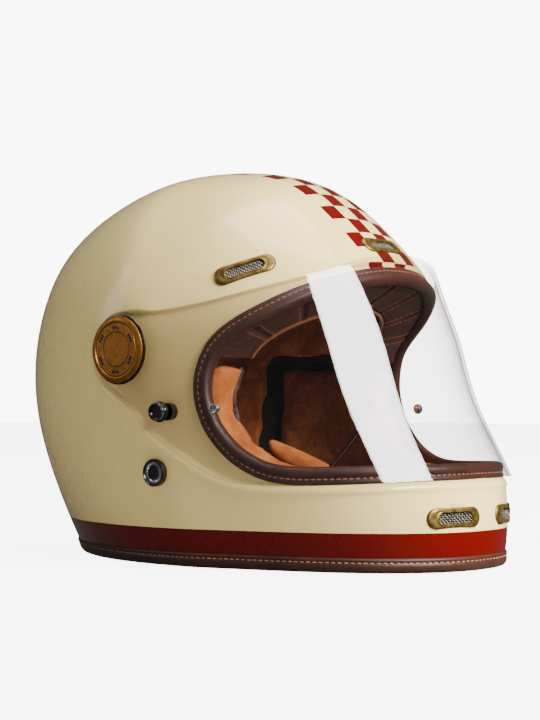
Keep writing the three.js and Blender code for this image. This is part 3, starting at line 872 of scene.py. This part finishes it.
def recess_inset(points):
    """How deep the visor's step lies at places on the dome, with the low bead along its edge."""
    edge = smooth_edge(RECESS, 0, 1200)
    inward = inside_by(edge, points[:, 1], points[:, 2])
    step = RECESS_DEPTH * eased(-0.4, 2.0, inward)
    low = eased(8, -22, points[:, 2] - 108)
    bead = BEAD_HEIGHT * low * np.exp(-((inward + 2.4) / 1.9) ** 2)
    return step - bead


def crown_run():
    """Distance along the mid-plane at a table of angles, 0 at the step over the brow."""
    angle = np.linspace(-1.5 * math.pi, 1.5 * math.pi, 4000)
    line = surface(DOME, 0, angle, np.zeros_like(angle))
    run = np.concatenate([[0], np.cumsum(np.linalg.norm(np.diff(line, axis=0), axis=1))])
    return angle, np.interp(RIDGE_ANGLE, angle, run) - run


def shell_skin(inset, around, across):
    """Points of the dome and their angles and leans."""
    angle = np.linspace(0, 2 * math.pi, around, endpoint=False)
    lean = np.linspace(-math.pi / 2, math.pi / 2, across + 1)[1:-1]
    grid_angle, grid_lean = np.meshgrid(angle, lean, indexing="ij")
    return surface(DOME, inset, grid_angle, grid_lean)


def angle_and_lean(points):
    dy, dz = points[:, 1] - PIVOT[0], points[:, 2] - PIVOT[1]
    angle = np.arctan2(dz, dy)
    n = ring_value(DOME["fullness"], angle)
    out = np.abs(points[:, 0]) / (DOME["half_width"] * taper_at(DOME, dy, dz))
    up = np.hypot(dy, dz) / ring_value(DOME["radii"], angle)
    lean = np.arctan2(out ** (n / 2), np.maximum(up, 1e-6) ** (n / 2))
    return angle, lean * np.sign(points[:, 0])


def outer_shell():
    around, across = 300, 136
    skin = shell_skin(0, around, across)
    flat = skin.reshape(-1, 3)
    mesh = bpy.data.meshes.new("shell")
    mesh.from_pydata(flat.tolist(), [], lattice(around, across - 1, True, False))
    work = bmesh.new()
    work.from_mesh(mesh)
    for column in (0, across - 2):
        work.verts.ensure_lookup_table()
        ring = [work.verts[row * (across - 1) + column] for row in range(around)]
        bmesh.ops.contextual_create(work, geom=ring)
    eyeport = smooth_edge(EYEPORT, 0, 1200)
    edge = smooth_edge(RECESS, 0, 1200)
    centres = np.array([f.calc_center_median() for f in work.faces])
    open_by = inside_by(eyeport, centres[:, 1], centres[:, 2])
    work.faces.ensure_lookup_table()
    gone = [f for f, c, o in zip(work.faces, centres, open_by)
            if o > 0.5 or c[2] < RIM_Z + 0.8]
    bmesh.ops.delete(work, geom=gone, context="FACES")
    for reach in (9.0, 6.5):
        work.edges.ensure_lookup_table()
        middles = np.array([(e.verts[0].co + e.verts[1].co) / 2 for e in work.edges])
        near = np.abs(inside_by(edge, middles[:, 1], middles[:, 2]) + 0.5) < reach
        chosen = [e for e, n in zip(work.edges, near) if n]
        bmesh.ops.subdivide_edges(work, edges=chosen, cuts=1, use_grid_fill=True)
    work.verts.ensure_lookup_table()
    places = np.array([v.co for v in work.verts])
    angle, lean = angle_and_lean(places)
    on_dome = surface(DOME, 0, angle, lean)
    inset = recess_inset(on_dome)
    bmesh.ops.reverse_faces(work, faces=work.faces)
    finished = surface(DOME, inset, angle, lean)
    for vert, co in zip(work.verts, finished):
        vert.co = co * MM
    table_angle, table_run = crown_run()
    layer = work.loops.layers.uv.new("stripe")
    rows = np.interp(np.where(angle < -math.pi / 2, angle + 2 * math.pi, angle),
                     table_angle, table_run) / ROW
    for face in work.faces:
        for loop in face.loops:
            k = loop.vert.index
            loop[layer].uv = (on_dome[k, 0] / COLUMN, rows[k])
    work.to_mesh(mesh)
    work.free()
    obj = shown("shell", mesh)
    mesh.materials.append(LACQUER)
    mesh.materials.append(RAW_SHELL)
    mesh.shade_smooth()
    wall = obj.modifiers.new("wall", "SOLIDIFY")
    wall.thickness = WALL * MM
    wall.offset = -1
    wall.use_rim = True
    wall.material_offset = 1
    wall.material_offset_rim = 1
    return apply_modifiers(obj)


shell = outer_shell()

# ---------------------------------------------------------------- leather trims


def loop_frames(points):
    """Outward and sideways directions at each point of a closed loop on the dome."""
    ahead, behind = np.roll(points, -1, axis=0), np.roll(points, 1, axis=0)
    run = ahead - behind
    run /= np.linalg.norm(run, axis=1, keepdims=True)
    out = normals_at(DOME, points)
    over = np.cross(out, run)
    over /= np.linalg.norm(over, axis=1, keepdims=True)
    return out, over


def smoothed(points, passes=6):
    for _ in range(passes):
        points = 0.5 * points + 0.25 * (np.roll(points, 1, axis=0) + np.roll(points, -1, axis=0))
    return points


# Across the eyeport trim: towards the opening, and out from the dome.
EYEPORT_ROLL = [
    (-5.2, -4.6), (-5.3, -2.6), (-5.2, -1.4), (-4.9, -0.75), (-4.3, -0.42), (-3.5, -0.34),
    (-2.7, -0.46), (-2.2, -0.66), (-1.75, -0.8), (-1.3, -0.62), (-0.8, -0.3), (0.0, 0.06),
    (1.1, 0.28), (2.3, 0.18), (3.4, -0.3), (4.4, -1.2), (5.1, -2.6), (5.3, -4.2), (5.0, -5.8),
    (4.1, -7.0), (2.6, -7.6), (0.6, -7.6), (-1.6, -7.4), (-3.6, -7.2), (-4.8, -6.4),
]
SEAM_AT = (-1.75, -0.42)


def eyeport_loop(count=420):
    return smoothed(side_loop(EYEPORT, 0, 0, count))


def eyeport_trim():
    base = eyeport_loop()
    out, over = loop_frames(base)
    if np.sum(over * (np.array([0, -95, 112]) - base)) < 0:
        over = -over
    rings = np.stack([base + over * b + out * n for b, n in EYEPORT_ROLL], axis=1)
    roll = swept("eyeport_roll", rings, TRIM_LEATHER)
    seam = base + over * SEAM_AT[0] + out * SEAM_AT[1]
    return roll, seam


trim, trim_seam = eyeport_trim()
settle(trim, "helmet", "leather", "eyeport_trim")
settle(stitches("eyeport_stitches", trim_seam, THREAD, closed=True), "helmet", "leather")


def level_section(inset, z, count):
    """The dome's outline at a height, by its direction from a middle point."""
    turn = np.linspace(0, 2 * math.pi, count, endpoint=False)
    way = np.stack([np.cos(turn), np.sin(turn), np.zeros(count)], axis=1)
    start = np.tile([0.0, -12.0, z], (count, 1))
    return drop(DOME, inset, start, way, reach=230)


# Down the outside of the bottom trim and back up the inside: out from the dome, and height.
BOTTOM_ROLL = [
    (-1.5, 8.8), (-0.2, 8.75), (0.7, 8.4), (1.15, 7.7), (1.25, 6.9), (1.0, 6.35), (0.75, 6.05),
    (0.95, 5.75), (1.4, 5.1), (1.6, 4.0), (1.6, 2.6), (1.3, 1.4), (0.6, 0.5), (-0.5, 0.08),
    (-2.6, 0.0), (-4.6, 0.1), (-6.0, 0.7), (-6.8, 2.0), (-6.8, 4.0), (-6.7, 6.6), (-6.2, 8.2),
    (-5.0, 8.8),
]
BOTTOM_SEAM = (1.05, 6.05)


def bottom_trim():
    count = 420
    rings = np.stack([level_section(-n, z, count) for n, z in BOTTOM_ROLL], axis=1)
    roll = swept("bottom_roll", rings, TRIM_LEATHER)
    seam = level_section(-BOTTOM_SEAM[0], BOTTOM_SEAM[1], 700)
    return roll, evenly(seam, 700)


base_trim, base_seam = bottom_trim()
settle(base_trim, "helmet", "leather", "bottom_trim")
settle(stitches("bottom_stitches", base_seam, THREAD, closed=True), "helmet", "leather")

# ---------------------------------------------------------------- vents

VENT_LENGTH, VENT_WIDTH = 38.0, 12.0
SLOT_LENGTH, SLOT_WIDTH = 24.4, 6.6
VENTS = {
    "brow_right": ((-82.7, -68.5, 47), (0.42, -0.82, 0.34)),
    "brow_centre": ((0, -110, 64), (1, 0, 0)),
    "brow_left": ((82.7, -68.5, 47), (0.42, 0.82, -0.34)),
    "chin_right": ((-27.8, -179, -97.5), (1, 0, 0)),
    "chin_left": ((27.8, -179, -97.5), (1, 0, 0)),
    "rear_right": ((-27, 112, 50), (1, 0, 0)),
    "rear_left": ((27, 112, 50), (1, 0, 0)),
}


def vent_place(direction, run):
    """Where a vent stands on the dome: its middle, and its long, cross and outward directions."""
    middle = np.array([0, *PIVOT], float)
    way = np.array(direction, float)
    way /= np.linalg.norm(way)
    at = drop(DOME, 0, middle + way * 120, way, reach=115)
    out = normals_at(DOME, at)
    along_it = np.array(run, float)
    along_it -= out * along_it.dot(out)
    along_it /= np.linalg.norm(along_it)
    return at, along_it, np.cross(out, along_it), out


def stadium(length, width, count=96):
    """Points round a long round-ended outline."""
    radius, straight = width / 2, (length - width) / 2
    turn = np.linspace(0, 2 * math.pi, count, endpoint=False) + 1e-4
    way = np.stack([np.cos(turn), np.sin(turn)], axis=1)
    return way * radius + np.stack([np.sign(way[:, 0]) * straight, np.zeros(count)], axis=1)


# From the foot of the outer wall over the rim and down inside the slot: share of the way from the
# outer to the slot's edge, and height.
BEZEL_SECTION = [
    (0.0, -1.2), (0.0, 0.2), (0.03, 0.75), (0.12, 1.15), (0.3, 1.42), (0.62, 1.46), (0.74, 1.3),
    (0.8, 1.36), (0.88, 1.62), (0.97, 1.55), (1.0, 1.25), (1.0, -2.2),
]


def vent_bezel(name, place):
    at, run, cross, out = place
    outer = stadium(VENT_LENGTH, VENT_WIDTH)
    slot = stadium(SLOT_LENGTH, SLOT_WIDTH)
    rings = []
    for share, height in BEZEL_SECTION:
        flat = outer * (1 - share) + slot * share
        points = at + np.outer(flat[:, 0], run) + np.outer(flat[:, 1], cross)
        ground = drop(DOME, 0, points, np.tile(out, (len(points), 1)), 12)
        rings.append(ground + out * height)
    made = swept("vent_" + name, np.array(rings), VENT_BRASS)
    made.data.set_sharp_from_angle(angle=math.radians(50))
    return made


def vent_wires(name, place):
    """The wire cloth behind a vent's slot."""
    at, run, cross, out = place
    mesh = bpy.data.meshes.new(name)
    mesh.from_pydata([(0, 0, 0)], [], [])
    host = shown(name, mesh)
    cloth = WIRE_CLOTH.grow("vent_wires_" + name, host, {
        "Pitch": 1.25 * MM, "Half length": 13.0 * MM, "Half width": 3.9 * MM,
        "Wire radius": 0.24 * MM, "Wire": WIRE})
    basis = Matrix([list(run) + [0], list(cross) + [0], list(out) + [0], [0, 0, 0, 1]]).transposed()
    basis.translation = Vector((at - out * 0.9) * MM)
    cloth.data.transform(basis)
    return cloth


def slot_cutter(place):
    at, run, cross, out = place
    rim = stadium(SLOT_LENGTH + 2.6, SLOT_WIDTH + 2.6, 40)
    rings = np.array([at + np.outer(rim[:, 0], run) + np.outer(rim[:, 1], cross) + out * h
                      for h in (-16.0, 16.0)])
    return swept("slot", rings, RAW_SHELL, closed=False)


for vent_name, (vent_way, vent_run) in VENTS.items():
    spot = vent_place(vent_way, vent_run)
    cut(shell, slot_cutter(spot))
    settle(vent_bezel(vent_name, spot), "helmet", "brass", "vent_bezel_" + vent_name)
    settle(vent_wires(vent_name, spot), "helmet", "wire_mesh", "vent_mesh_" + vent_name)

settle(shell, "helmet", "shell_paint", "outer_shell")

# ---------------------------------------------------------------- visor


def outline_cutter(outline, grow, half=140.0, count=520):
    """A block along X over an open-fronted outline."""
    edge = smooth_edge(outline, grow, count)
    loop = np.vstack([edge, [[-260, edge[-1, 1]], [-260, edge[0, 1]]]])
    rings = np.array([np.column_stack([np.full(len(loop), x), loop]) for x in (-half, half)])
    return swept("outline", rings, CLEAR, closed=False)


def round_cutter(place, radius, x0, x1):
    return turned("bore", [(0, -x0), (radius, -x0), (radius, -x1), (0, -x1)], place, CLEAR, 48)


def powers(points):
    """The cubic terms of places about the pivot axis, in decimetres."""
    x, y, z = (np.asarray(points, float).T / MM - np.array([[0], [PIVOT[0]], [PIVOT[1]]])) / 100
    terms = [x**i * y**j * z**k for i in range(4) for j in range(4 - i) for k in range(4 - i - j)]
    return np.stack(terms, axis=-1)


def even_normals(mesh):
    """Shades a sheet's two skins with one smooth field of normals, so that it mirrors cleanly."""
    middles = np.array([f.center for f in mesh.polygons])
    facing = np.array([f.normal for f in mesh.polygons])
    rough = normals_at(SHIELD, middles / MM)
    skin = np.abs((rough * facing).sum(axis=1)) > 0.8
    fit = np.linalg.lstsq(powers(middles[skin]), rough[skin], rcond=None)[0]
    places = np.array([v.co for v in mesh.vertices])
    smooth = powers(places) @ fit
    smooth /= np.linalg.norm(smooth, axis=1, keepdims=True)
    turned_to = np.sign((rough * facing).sum(axis=1))
    loops = []
    for face, on_skin, way in zip(mesh.polygons, skin, turned_to):
        for vertex in face.vertices:
            loops.append(tuple(smooth[vertex] * way) if on_skin else tuple(face.normal))
    mesh.normals_split_custom_set(loops)


def visor():
    around, across = 240, 120
    angle = np.linspace(0, 2 * math.pi, around, endpoint=False)
    lean = np.linspace(-math.pi / 2, math.pi / 2, across + 1)[1:-1]
    grid_angle, grid_lean = np.meshgrid(angle, lean, indexing="ij")
    skins = []
    for inset in (0.0, VISOR_WALL):
        skin = surface(SHIELD, inset, grid_angle, grid_lean).reshape(-1, 3)
        faces = lattice(around, across - 1, True, False)
        rows = np.arange(around) * (across - 1)
        faces.append(tuple(rows.tolist()))
        faces.append(tuple((rows + across - 2).tolist()[::-1]))
        skins.append(face_out(piece("visor_skin", skin, faces, CLEAR)))
    sheet = cut(skins[0], skins[1])
    sheet = cut(sheet, outline_cutter(RECESS, -VISOR_MARGIN), "INTERSECT")
    sheet = cut(sheet, round_cutter(PIVOT, 8.4, -130, 130))
    sheet = cut(sheet, round_cutter(PIN, 2.4, -130, 130))
    sheet = cut(sheet, round_cutter(LATCH, 3.7, -130, 0))
    sheet.name = "visor_sheet"
    sheet.data.shade_smooth()
    even_normals(sheet.data)
    return sheet


visor_sheet = visor()
settle(visor_sheet, "visor", "visor_clear", "visor")


def pair(make, base, body, slot, *nodes):
    """The right-hand piece and its mirror image, each standing for its own CAD nodes."""
    right = make(base + "_right")
    left = mirrored(right, base + "_left")
    settle(right, body, slot, *[n + "_right" for n in nodes])
    settle(left, body, slot, *[n + "_left" for n in nodes])


def visor_pin(name):
    outside = float(side_x(SHIELD, 0, *PIN))
    return turned(name, [
        (1.3, outside + 0.5), (1.5, outside + 1.7), (2.1, outside + 1.95), (2.9, outside + 1.85),
        (3.4, outside + 1.4), (3.55, outside + 0.8), (3.4, outside + 0.3), (2.2, outside + 0.2),
        (2.0, outside - 2.0), (0, outside - 2.1), (0, outside + 0.5), (1.3, outside + 0.5),
    ], PIN, STEEL, 40)


pair(visor_pin, "visor_ring", "visor", "steel", "visor_pin")

# ---------------------------------------------------------------- pivots, latch and anchors

CAP_FACE = 119.5


def ring_of(name, shape, count, place, finish):
    """Copies of one shape, evenly spaced round a line along X."""
    return RING_OF_MARKS.grow(name, shape, {
        "Count": count, "Middle": (0.0, place[0] * MM, place[1] * MM), "Finish": finish})


def face_bar(name, place, radius, half_long, half_wide, out, depth, finish, angle=0.0):
    """A small bar on a face that looks along X, set at a radius and an angle."""
    points = []
    for x in (out, out - depth):
        for a, r in ((-1, -1), (1, -1), (1, 1), (-1, 1)):
            t = angle + a * half_wide / radius
            reach = radius + r * half_long
            points.append((-x, place[0] + reach * math.sin(t), place[1] + reach * math.cos(t)))
    faces = [(0, 1, 2, 3), (7, 6, 5, 4), (0, 4, 5, 1), (1, 5, 6, 2), (2, 6, 7, 3), (3, 7, 4, 0)]
    return face_out(piece(name, points, faces, finish, smooth=False))


def pivot_cap(name):
    cap = turned(name, [
        (0, CAP_FACE - 0.25), (9.9, CAP_FACE - 0.25), (10.15, CAP_FACE - 0.45),
        (10.65, CAP_FACE - 0.45), (10.9, CAP_FACE - 0.22), (15.6, CAP_FACE - 0.22),
        (15.8, CAP_FACE - 0.45), (16.25, CAP_FACE - 0.45), (16.5, CAP_FACE - 0.12),
        (17.3, CAP_FACE), (17.9, CAP_FACE - 0.12), (19.2, CAP_FACE - 0.75),
        (19.75, CAP_FACE - 1.15), (19.85, CAP_FACE - 1.5), (19.7, CAP_FACE - 2.1),
        (19.0, CAP_FACE - 2.25), (6.3, CAP_FACE - 2.25), (6.2, CAP_FACE - 1.6), (0, CAP_FACE - 1.6),
    ], PIVOT, CAP_BRONZE, 120)
    grooves = []
    for inner, outer in ((10.1, 10.7), (15.75, 16.3)):
        grooves.append(turned(name + "_groove", [
            (inner, CAP_FACE - 0.4), (outer, CAP_FACE - 0.4), (outer, CAP_FACE - 0.6),
            (inner, CAP_FACE - 0.6), (inner, CAP_FACE - 0.4)], PIVOT, INK, 96))
    return joined(name, [cap, *grooves])


def cap_marks(name):
    """Six groups of three bars with a dot between groups."""
    bars = [face_bar("bar", PIVOT, 13.2, 1.25, 0.55, CAP_FACE - 0.12, 0.25, INK,
                     math.radians(step)) for step in (-8.5, 0.0, 8.5)]
    bars += [face_bar("bar", PIVOT, 13.2, 0.25, 1.3, CAP_FACE - 0.12, 0.25, INK,
                      math.radians(step)) for step in (-6.0, 6.0)]
    dot = face_bar("dot", PIVOT, 13.2, 0.42, 0.42, CAP_FACE - 0.12, 0.25, INK, math.radians(30))
    return ring_of(name, joined(name + "_group", [*bars, dot]), 6, PIVOT, INK)


def pivot_washer(name):
    return turned(name, [
        (5.9, 116.85), (20.2, 116.9), (20.75, 116.7), (20.9, 116.25), (20.75, 115.8),
        (20.2, 115.6), (3.4, 115.6), (3.4, 116.2), (5.9, 116.3), (5.9, 116.85),
    ], PIVOT, BLACK, 110)


pair(pivot_cap, "pivot_disc", "helmet", "brass", "pivot_cap")
pair(cap_marks, "pivot_marks", "helmet", "brass")
pair(pivot_washer, "pivot_ring", "helmet", "black_plastic", "pivot_washer")


def latch_knob():
    knob = turned("latch_button", [
        (0, 118.0), (3.5, 118.0), (3.75, 118.3), (3.95, 119.25), (4.5, 119.4), (5.05, 119.2),
        (5.3, 118.6), (5.3, 115.8), (5.5, 115.55), (6.0, 115.45), (6.2, 115.25), (6.2, 114.75),
        (5.9, 114.6), (3.2, 114.6), (3.2, 110.0), (0, 110.0),
    ], LATCH, BLACK, 64)
    grip = face_bar("latch_grip", LATCH, 5.32, 0.22, 0.3, 118.4, 2.6, BLACK)
    return joined("latch_button", [knob, ring_of("latch_grips", grip, 22, LATCH, BLACK)])


settle(latch_knob(), "latch_knob", "black_plastic", "latch_knob")


def anchor_cap(name):
    foot = float(side_x(DOME, 0, *ANCHOR)) - 0.4
    rim = turned(name, [
        (0, 109.5), (3.0, 109.5), (3.3, 109.75), (4.1, 109.8), (4.3, 109.55), (6.5, 109.55),
        (6.7, 110.2), (7.1, 110.6), (7.6, 110.6), (8.1, 110.1), (8.2, 109.4), (8.2, foot), (0, foot),
    ], ANCHOR, BLACK, 72)
    band = turned(name + "_band", [
        (4.35, 109.75), (6.4, 109.75), (6.4, 109.3), (4.35, 109.3), (4.35, 109.75)],
        ANCHOR, DARK_STEEL, 60)
    tooth = face_bar("tooth", ANCHOR, 5.4, 0.95, 0.2, 109.95, 0.5, STEEL)
    teeth = ring_of("teeth", tooth, 30, ANCHOR, STEEL)
    return joined(name, [rim, band, teeth])


pair(anchor_cap, "anchor_button", "helmet", "black_plastic", "strap_anchor_cap")

# ---------------------------------------------------------------- pads


def pad_body(name, node, voxel, shrink):
    """A rounder, slightly smaller closed skin over a pad's plain solid."""
    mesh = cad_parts[node].data.copy()
    work = bmesh.new()
    work.from_mesh(mesh)
    bmesh.ops.remove_doubles(work, verts=work.verts, dist=1e-5)
    work.to_mesh(mesh)
    work.free()
    mesh.materials.clear()
    obj = shown(name, mesh)
    skin = obj.modifiers.new("skin", "REMESH")
    skin.mode = "VOXEL"
    skin.voxel_size = voxel * MM
    soften = obj.modifiers.new("soften", "SMOOTH")
    soften.iterations = 5
    pull = obj.modifiers.new("pull", "DISPLACE")
    pull.strength = -shrink * MM
    pull.mid_level = 0
    return apply_modifiers(obj)


def puff(obj, cap, pressure=4.0, pinned=None, frames=20):
    """Blows a pad up as cloth, and lets no point move further than the cap in millimetres."""
    scene = bpy.context.scene
    rest = np.array([v.co for v in obj.data.vertices])
    cloth = obj.modifiers.new("cloth", "CLOTH")
    how = cloth.settings
    how.quality = 5
    how.mass = 0.25
    how.tension_stiffness = how.compression_stiffness = 18
    how.bending_stiffness = 0.6
    how.use_pressure = True
    how.uniform_pressure_force = pressure
    how.effector_weights.gravity = 0
    if pinned is not None:
        group = obj.vertex_groups.new(name="sewn")
        group.add(pinned, 1.0, "REPLACE")
        how.vertex_group_mass = "sewn"
    for step in range(1, frames + 1):
        scene.frame_set(step)
    graph = bpy.context.evaluated_depsgraph_get()
    blown = obj.evaluated_get(graph).data
    moved = np.array([v.co for v in blown.vertices]) - rest
    obj.modifiers.remove(cloth)
    scene.frame_set(1)
    far = np.linalg.norm(moved, axis=1, keepdims=True)
    reach = cap * MM
    held = moved * np.minimum(1, reach / np.maximum(far, 1e-9))
    obj.data.vertices.foreach_set("co", (rest + held).ravel().astype(np.float32))
    obj.data.update()
    return obj


def refined(obj, material, levels=1):
    rounder = obj.modifiers.new("rounder", "SUBSURF")
    rounder.levels = rounder.render_levels = levels
    apply_modifiers(obj)
    obj.data.materials.clear()
    obj.data.materials.append(material)
    obj.data.shade_smooth()
    return obj


def press_seams(obj, paths, depth, width):
    """Draws a pad's skin in along its seams."""
    mesh = obj.data
    count = len(mesh.vertices)
    place, normal = np.zeros(count * 3), np.zeros(count * 3)
    mesh.vertices.foreach_get("co", place)
    mesh.vertices.foreach_get("normal", normal)
    place, normal = place.reshape(-1, 3), normal.reshape(-1, 3)
    line = np.vstack(paths) * MM
    near = np.full(count, 1.0)
    for start in range(0, count, 4000):
        gap = place[start:start + 4000, None, :] - line[None, :, :]
        near[start:start + 4000] = np.sqrt((gap**2).sum(axis=2)).min(axis=1)
    dent = depth * MM * np.exp(-(near / (width * MM)) ** 2)
    mesh.vertices.foreach_set("co", (place - normal * dent[:, None]).ravel())
    mesh.update()


def laid_on(obj, path, lift):
    """A path in millimetres moved to the nearest places on a piece, lifted off its skin."""
    tree = BVHTree.FromObject(obj, bpy.context.evaluated_depsgraph_get())
    out = []
    for point in np.asarray(path, float):
        place, normal, _, _ = tree.find_nearest(Vector(point * MM))
        out.append(np.array(place + normal * lift * MM) / MM)
    return np.array(out)


def rim_path(grow, inset, low, high, front=None, count=160):
    """Along the eye opening's edge at a depth below the dome, between two heights."""
    edge = smooth_edge(EYEPORT, grow)
    x = side_x(DOME, inset, edge[:, 0], edge[:, 1])
    keep = (x > 0) & (edge[:, 1] >= low) & (edge[:, 1] <= high)
    if front is not None:
        keep &= edge[:, 0] > front
    points = np.column_stack([-x[keep], edge[keep]])
    return evenly(points, count, closed=False)


BROW_LOW = 123.0
BROW_COLUMNS = 241
BROW_DEPTHS = np.linspace(8.6, 38.0, 15)
BROW_SEAMS = [0.1, 0.235, 0.375, 0.5, 0.625, 0.765, 0.9]


def brow_line(grow, inset):
    """From the right temple over the forehead to the left one."""
    right = rim_path(grow, inset, BROW_LOW, 400)[::-1]
    return evenly(np.vstack([right, right[::-1] * [-1, 1, 1]]), BROW_COLUMNS, closed=False)


def brow_pad():
    """The quilted leather band over the forehead: panels blown up between sewn seams."""
    front = [brow_line(-3.0 + 1.6 * (k in (0, len(BROW_DEPTHS) - 1)), inset)
             for k, inset in enumerate(BROW_DEPTHS)]
    back = [brow_line(5.0, inset) for inset in np.linspace(37.6, 9.2, 6)]
    rows = np.stack(front + back, axis=1)
    pad = swept("brow_cushion", rows, PAD_LEATHER, closed=False)
    columns = rows.shape[1]
    sewn = []
    for column in range(BROW_COLUMNS):
        share = column / (BROW_COLUMNS - 1)
        seam = min(abs(share - s) for s in BROW_SEAMS) < 0.0034 or share < 0.01 or share > 0.99
        for row in range(columns):
            if seam or row in (0, len(BROW_DEPTHS) - 1) or row > len(BROW_DEPTHS):
                sewn.append(column * columns + row)
    puff(pad, 3.2, 5.0, sewn)
    refined(pad, PAD_LEATHER)
    seams = []
    for share in BROW_SEAMS:
        column = round(share * (BROW_COLUMNS - 1))
        seams.append(rows[column, 1:len(BROW_DEPTHS) - 1])
    press_seams(pad, seams, 1.5, 1.8)
    threads = []
    for share in BROW_SEAMS:
        for step in (-4, 4):
            column = round(share * (BROW_COLUMNS - 1)) + step
            line = evenly(rows[column, 1:len(BROW_DEPTHS) - 1], 40, closed=False)
            threads.append(stitches("brow_thread", laid_on(pad, line, 0.1), THREAD,
                                    pitch=3.2, length=2.3, girth=0.55))
    return pad, joined("brow_threads", threads)


brow, brow_threads = brow_pad()
settle(brow, "helmet", "leather", "brow_pad")
settle(brow_threads, "helmet", "leather")
brow_edge = brow_line(-2.4, 39.2)
settle(round_bar("brow_piping", brow_edge, 1.1, TAN_PIPING), "helmet", "suede")

CHEEK_TOP = 122.0


CHEEK_INNER = 36.0


def cheek_side(y, z):
    """A place on a cheek pad's inner face, on the wearer's right."""
    return [-float(side_x(DOME, CHEEK_INNER, y, z)), y, z]


def cheek_cushion(name):
    pad = pad_body(name, "cheek_pad_right", 3.4, 1.0)
    puff(pad, 5.0, 4.0)
    refined(pad, TAN_SUEDE)
    shares = np.linspace(0, 1, 60)
    seam = [cheek_side(-38 + 52 * t, 92 - 62 * t) for t in shares]
    arch = [cheek_side(-60 + 85 * t, 34 + 24 * math.sin(math.pi * t)) for t in shares]
    seam, arch = laid_on(pad, seam, 0), laid_on(pad, arch, 0)
    press_seams(pad, [seam, arch], 2.2, 2.4)
    return pad, seam, arch


cheek_right, cheek_seam, cheek_arch = cheek_cushion("cheek_cushion_right")
cheek_left = mirrored(cheek_right, "cheek_cushion_left")
settle(cheek_right, "helmet", "suede", "cheek_pad_right")
settle(cheek_left, "helmet", "suede", "cheek_pad_left")


def cheek_trims(name):
    """The brown piping round a cheek pad's front edge, and the threads along its seams."""
    edge = rim_path(-3.0, 36.2, 30, CHEEK_TOP - 1, front=-98)
    bead = round_bar("bead", laid_on(cheek_right, edge, 0.4), 1.8, PAD_LEATHER)
    threads = [stitches("row", laid_on(cheek_right, line, 0.1), THREAD, pitch=3.4, length=2.4,
                        girth=0.6) for line in (cheek_seam, cheek_arch)]
    return joined(name, [bead, *threads])


pair(cheek_trims, "cheek_piping", "helmet", "leather")


def cheek_lobe(name):
    """The small leaf-shaped cushion inside the lower front corner of each cheek pad."""
    spine = rim_path(-4.5, 40.0, 30, 74, front=-90, count=40)
    rings = []
    for k, point in enumerate(spine):
        t = k / (len(spine) - 1)
        wide = 8.5 * math.sin(math.pi * min(1, 0.04 + 0.94 * t)) ** 0.7
        thick = 4.2 * math.sin(math.pi * min(1, 0.04 + 0.94 * t)) ** 0.6
        run = spine[min(k + 1, len(spine) - 1)] - spine[max(k - 1, 0)]
        run /= np.linalg.norm(run)
        inward = np.array([0.94, 0.1, 0.32])
        inward -= run * inward.dot(run)
        inward /= np.linalg.norm(inward)
        over = np.cross(run, inward)
        turn = np.linspace(0, 2 * math.pi, 20, endpoint=False)[:, None]
        rings.append(point + inward * wide * np.cos(turn) + over * thick * np.sin(turn))
    rings = np.array(rings)
    lobe = swept(name, rings, TAN_SUEDE, closed=False)
    bead = round_bar("lobe_bead", rings[:, 0], 1.1, PAD_LEATHER)
    return joined(name, [lobe, bead])


pair(cheek_lobe, "cheek_lobe", "helmet", "suede")


LINING_SLOTS = {"crown_pad": "lining", "neck_roll": "leather", "chin_lining": "lining"}


def soft_lining(name, node, material, voxel, shrink, cap, seams=()):
    pad = pad_body(name, node, voxel, shrink)
    puff(pad, cap)
    refined(pad, material)
    if seams:
        press_seams(pad, [laid_on(pad, s, 0) for s in seams], 2.0, 2.6)
    settle(pad, "helmet", LINING_SLOTS[node], node)
    return pad


def crown_seam(lean, start=0.15, stop=1.9, inset=36.5):
    """A seam that runs from the nape up over the crown at one lean from the mid-plane."""
    angle = np.linspace(start, stop, 90)
    return surface(DOME, inset, angle, np.full_like(angle, lean))


soft_lining("crown_cushion", "crown_pad", BROWN_SUEDE, 4.0, 1.2, 5.0,
            [crown_seam(lean) for lean in (-0.5, 0.0, 0.5)])
soft_lining("nape_roll", "neck_roll", PAD_LEATHER, 4.0, 1.5, 5.0)
soft_lining("chin_cloth", "chin_lining", BROWN_SUEDE, 2.4, 0.4, 2.5)

# ---------------------------------------------------------------- CAD parts that show as they are

KEPT = {
    FOAM_AND_PAINTED_SHADE: ["crown_eps", "chin_eps"],
    WEBBING: ["chin_strap_right", "chin_strap_left"],
    STEEL: ["d_ring_outer", "d_ring_inner", "pivot_screw_right", "pivot_screw_left",
            "pivot_nut_right", "pivot_nut_left", "strap_rivet_right", "strap_rivet_left",
            "strap_anchor_plate_right", "strap_anchor_plate_left"],
    BLACK: ["latch_stud", "strap_stud", "pivot_base_right", "pivot_base_left"],
    VENT_BRASS: ["pivot_bush_right", "pivot_bush_left"],
}
for finish, names in KEPT.items():
    for node_name in names:
        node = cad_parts[node_name]
        node.data.materials.clear()
        node.data.materials.append(finish)
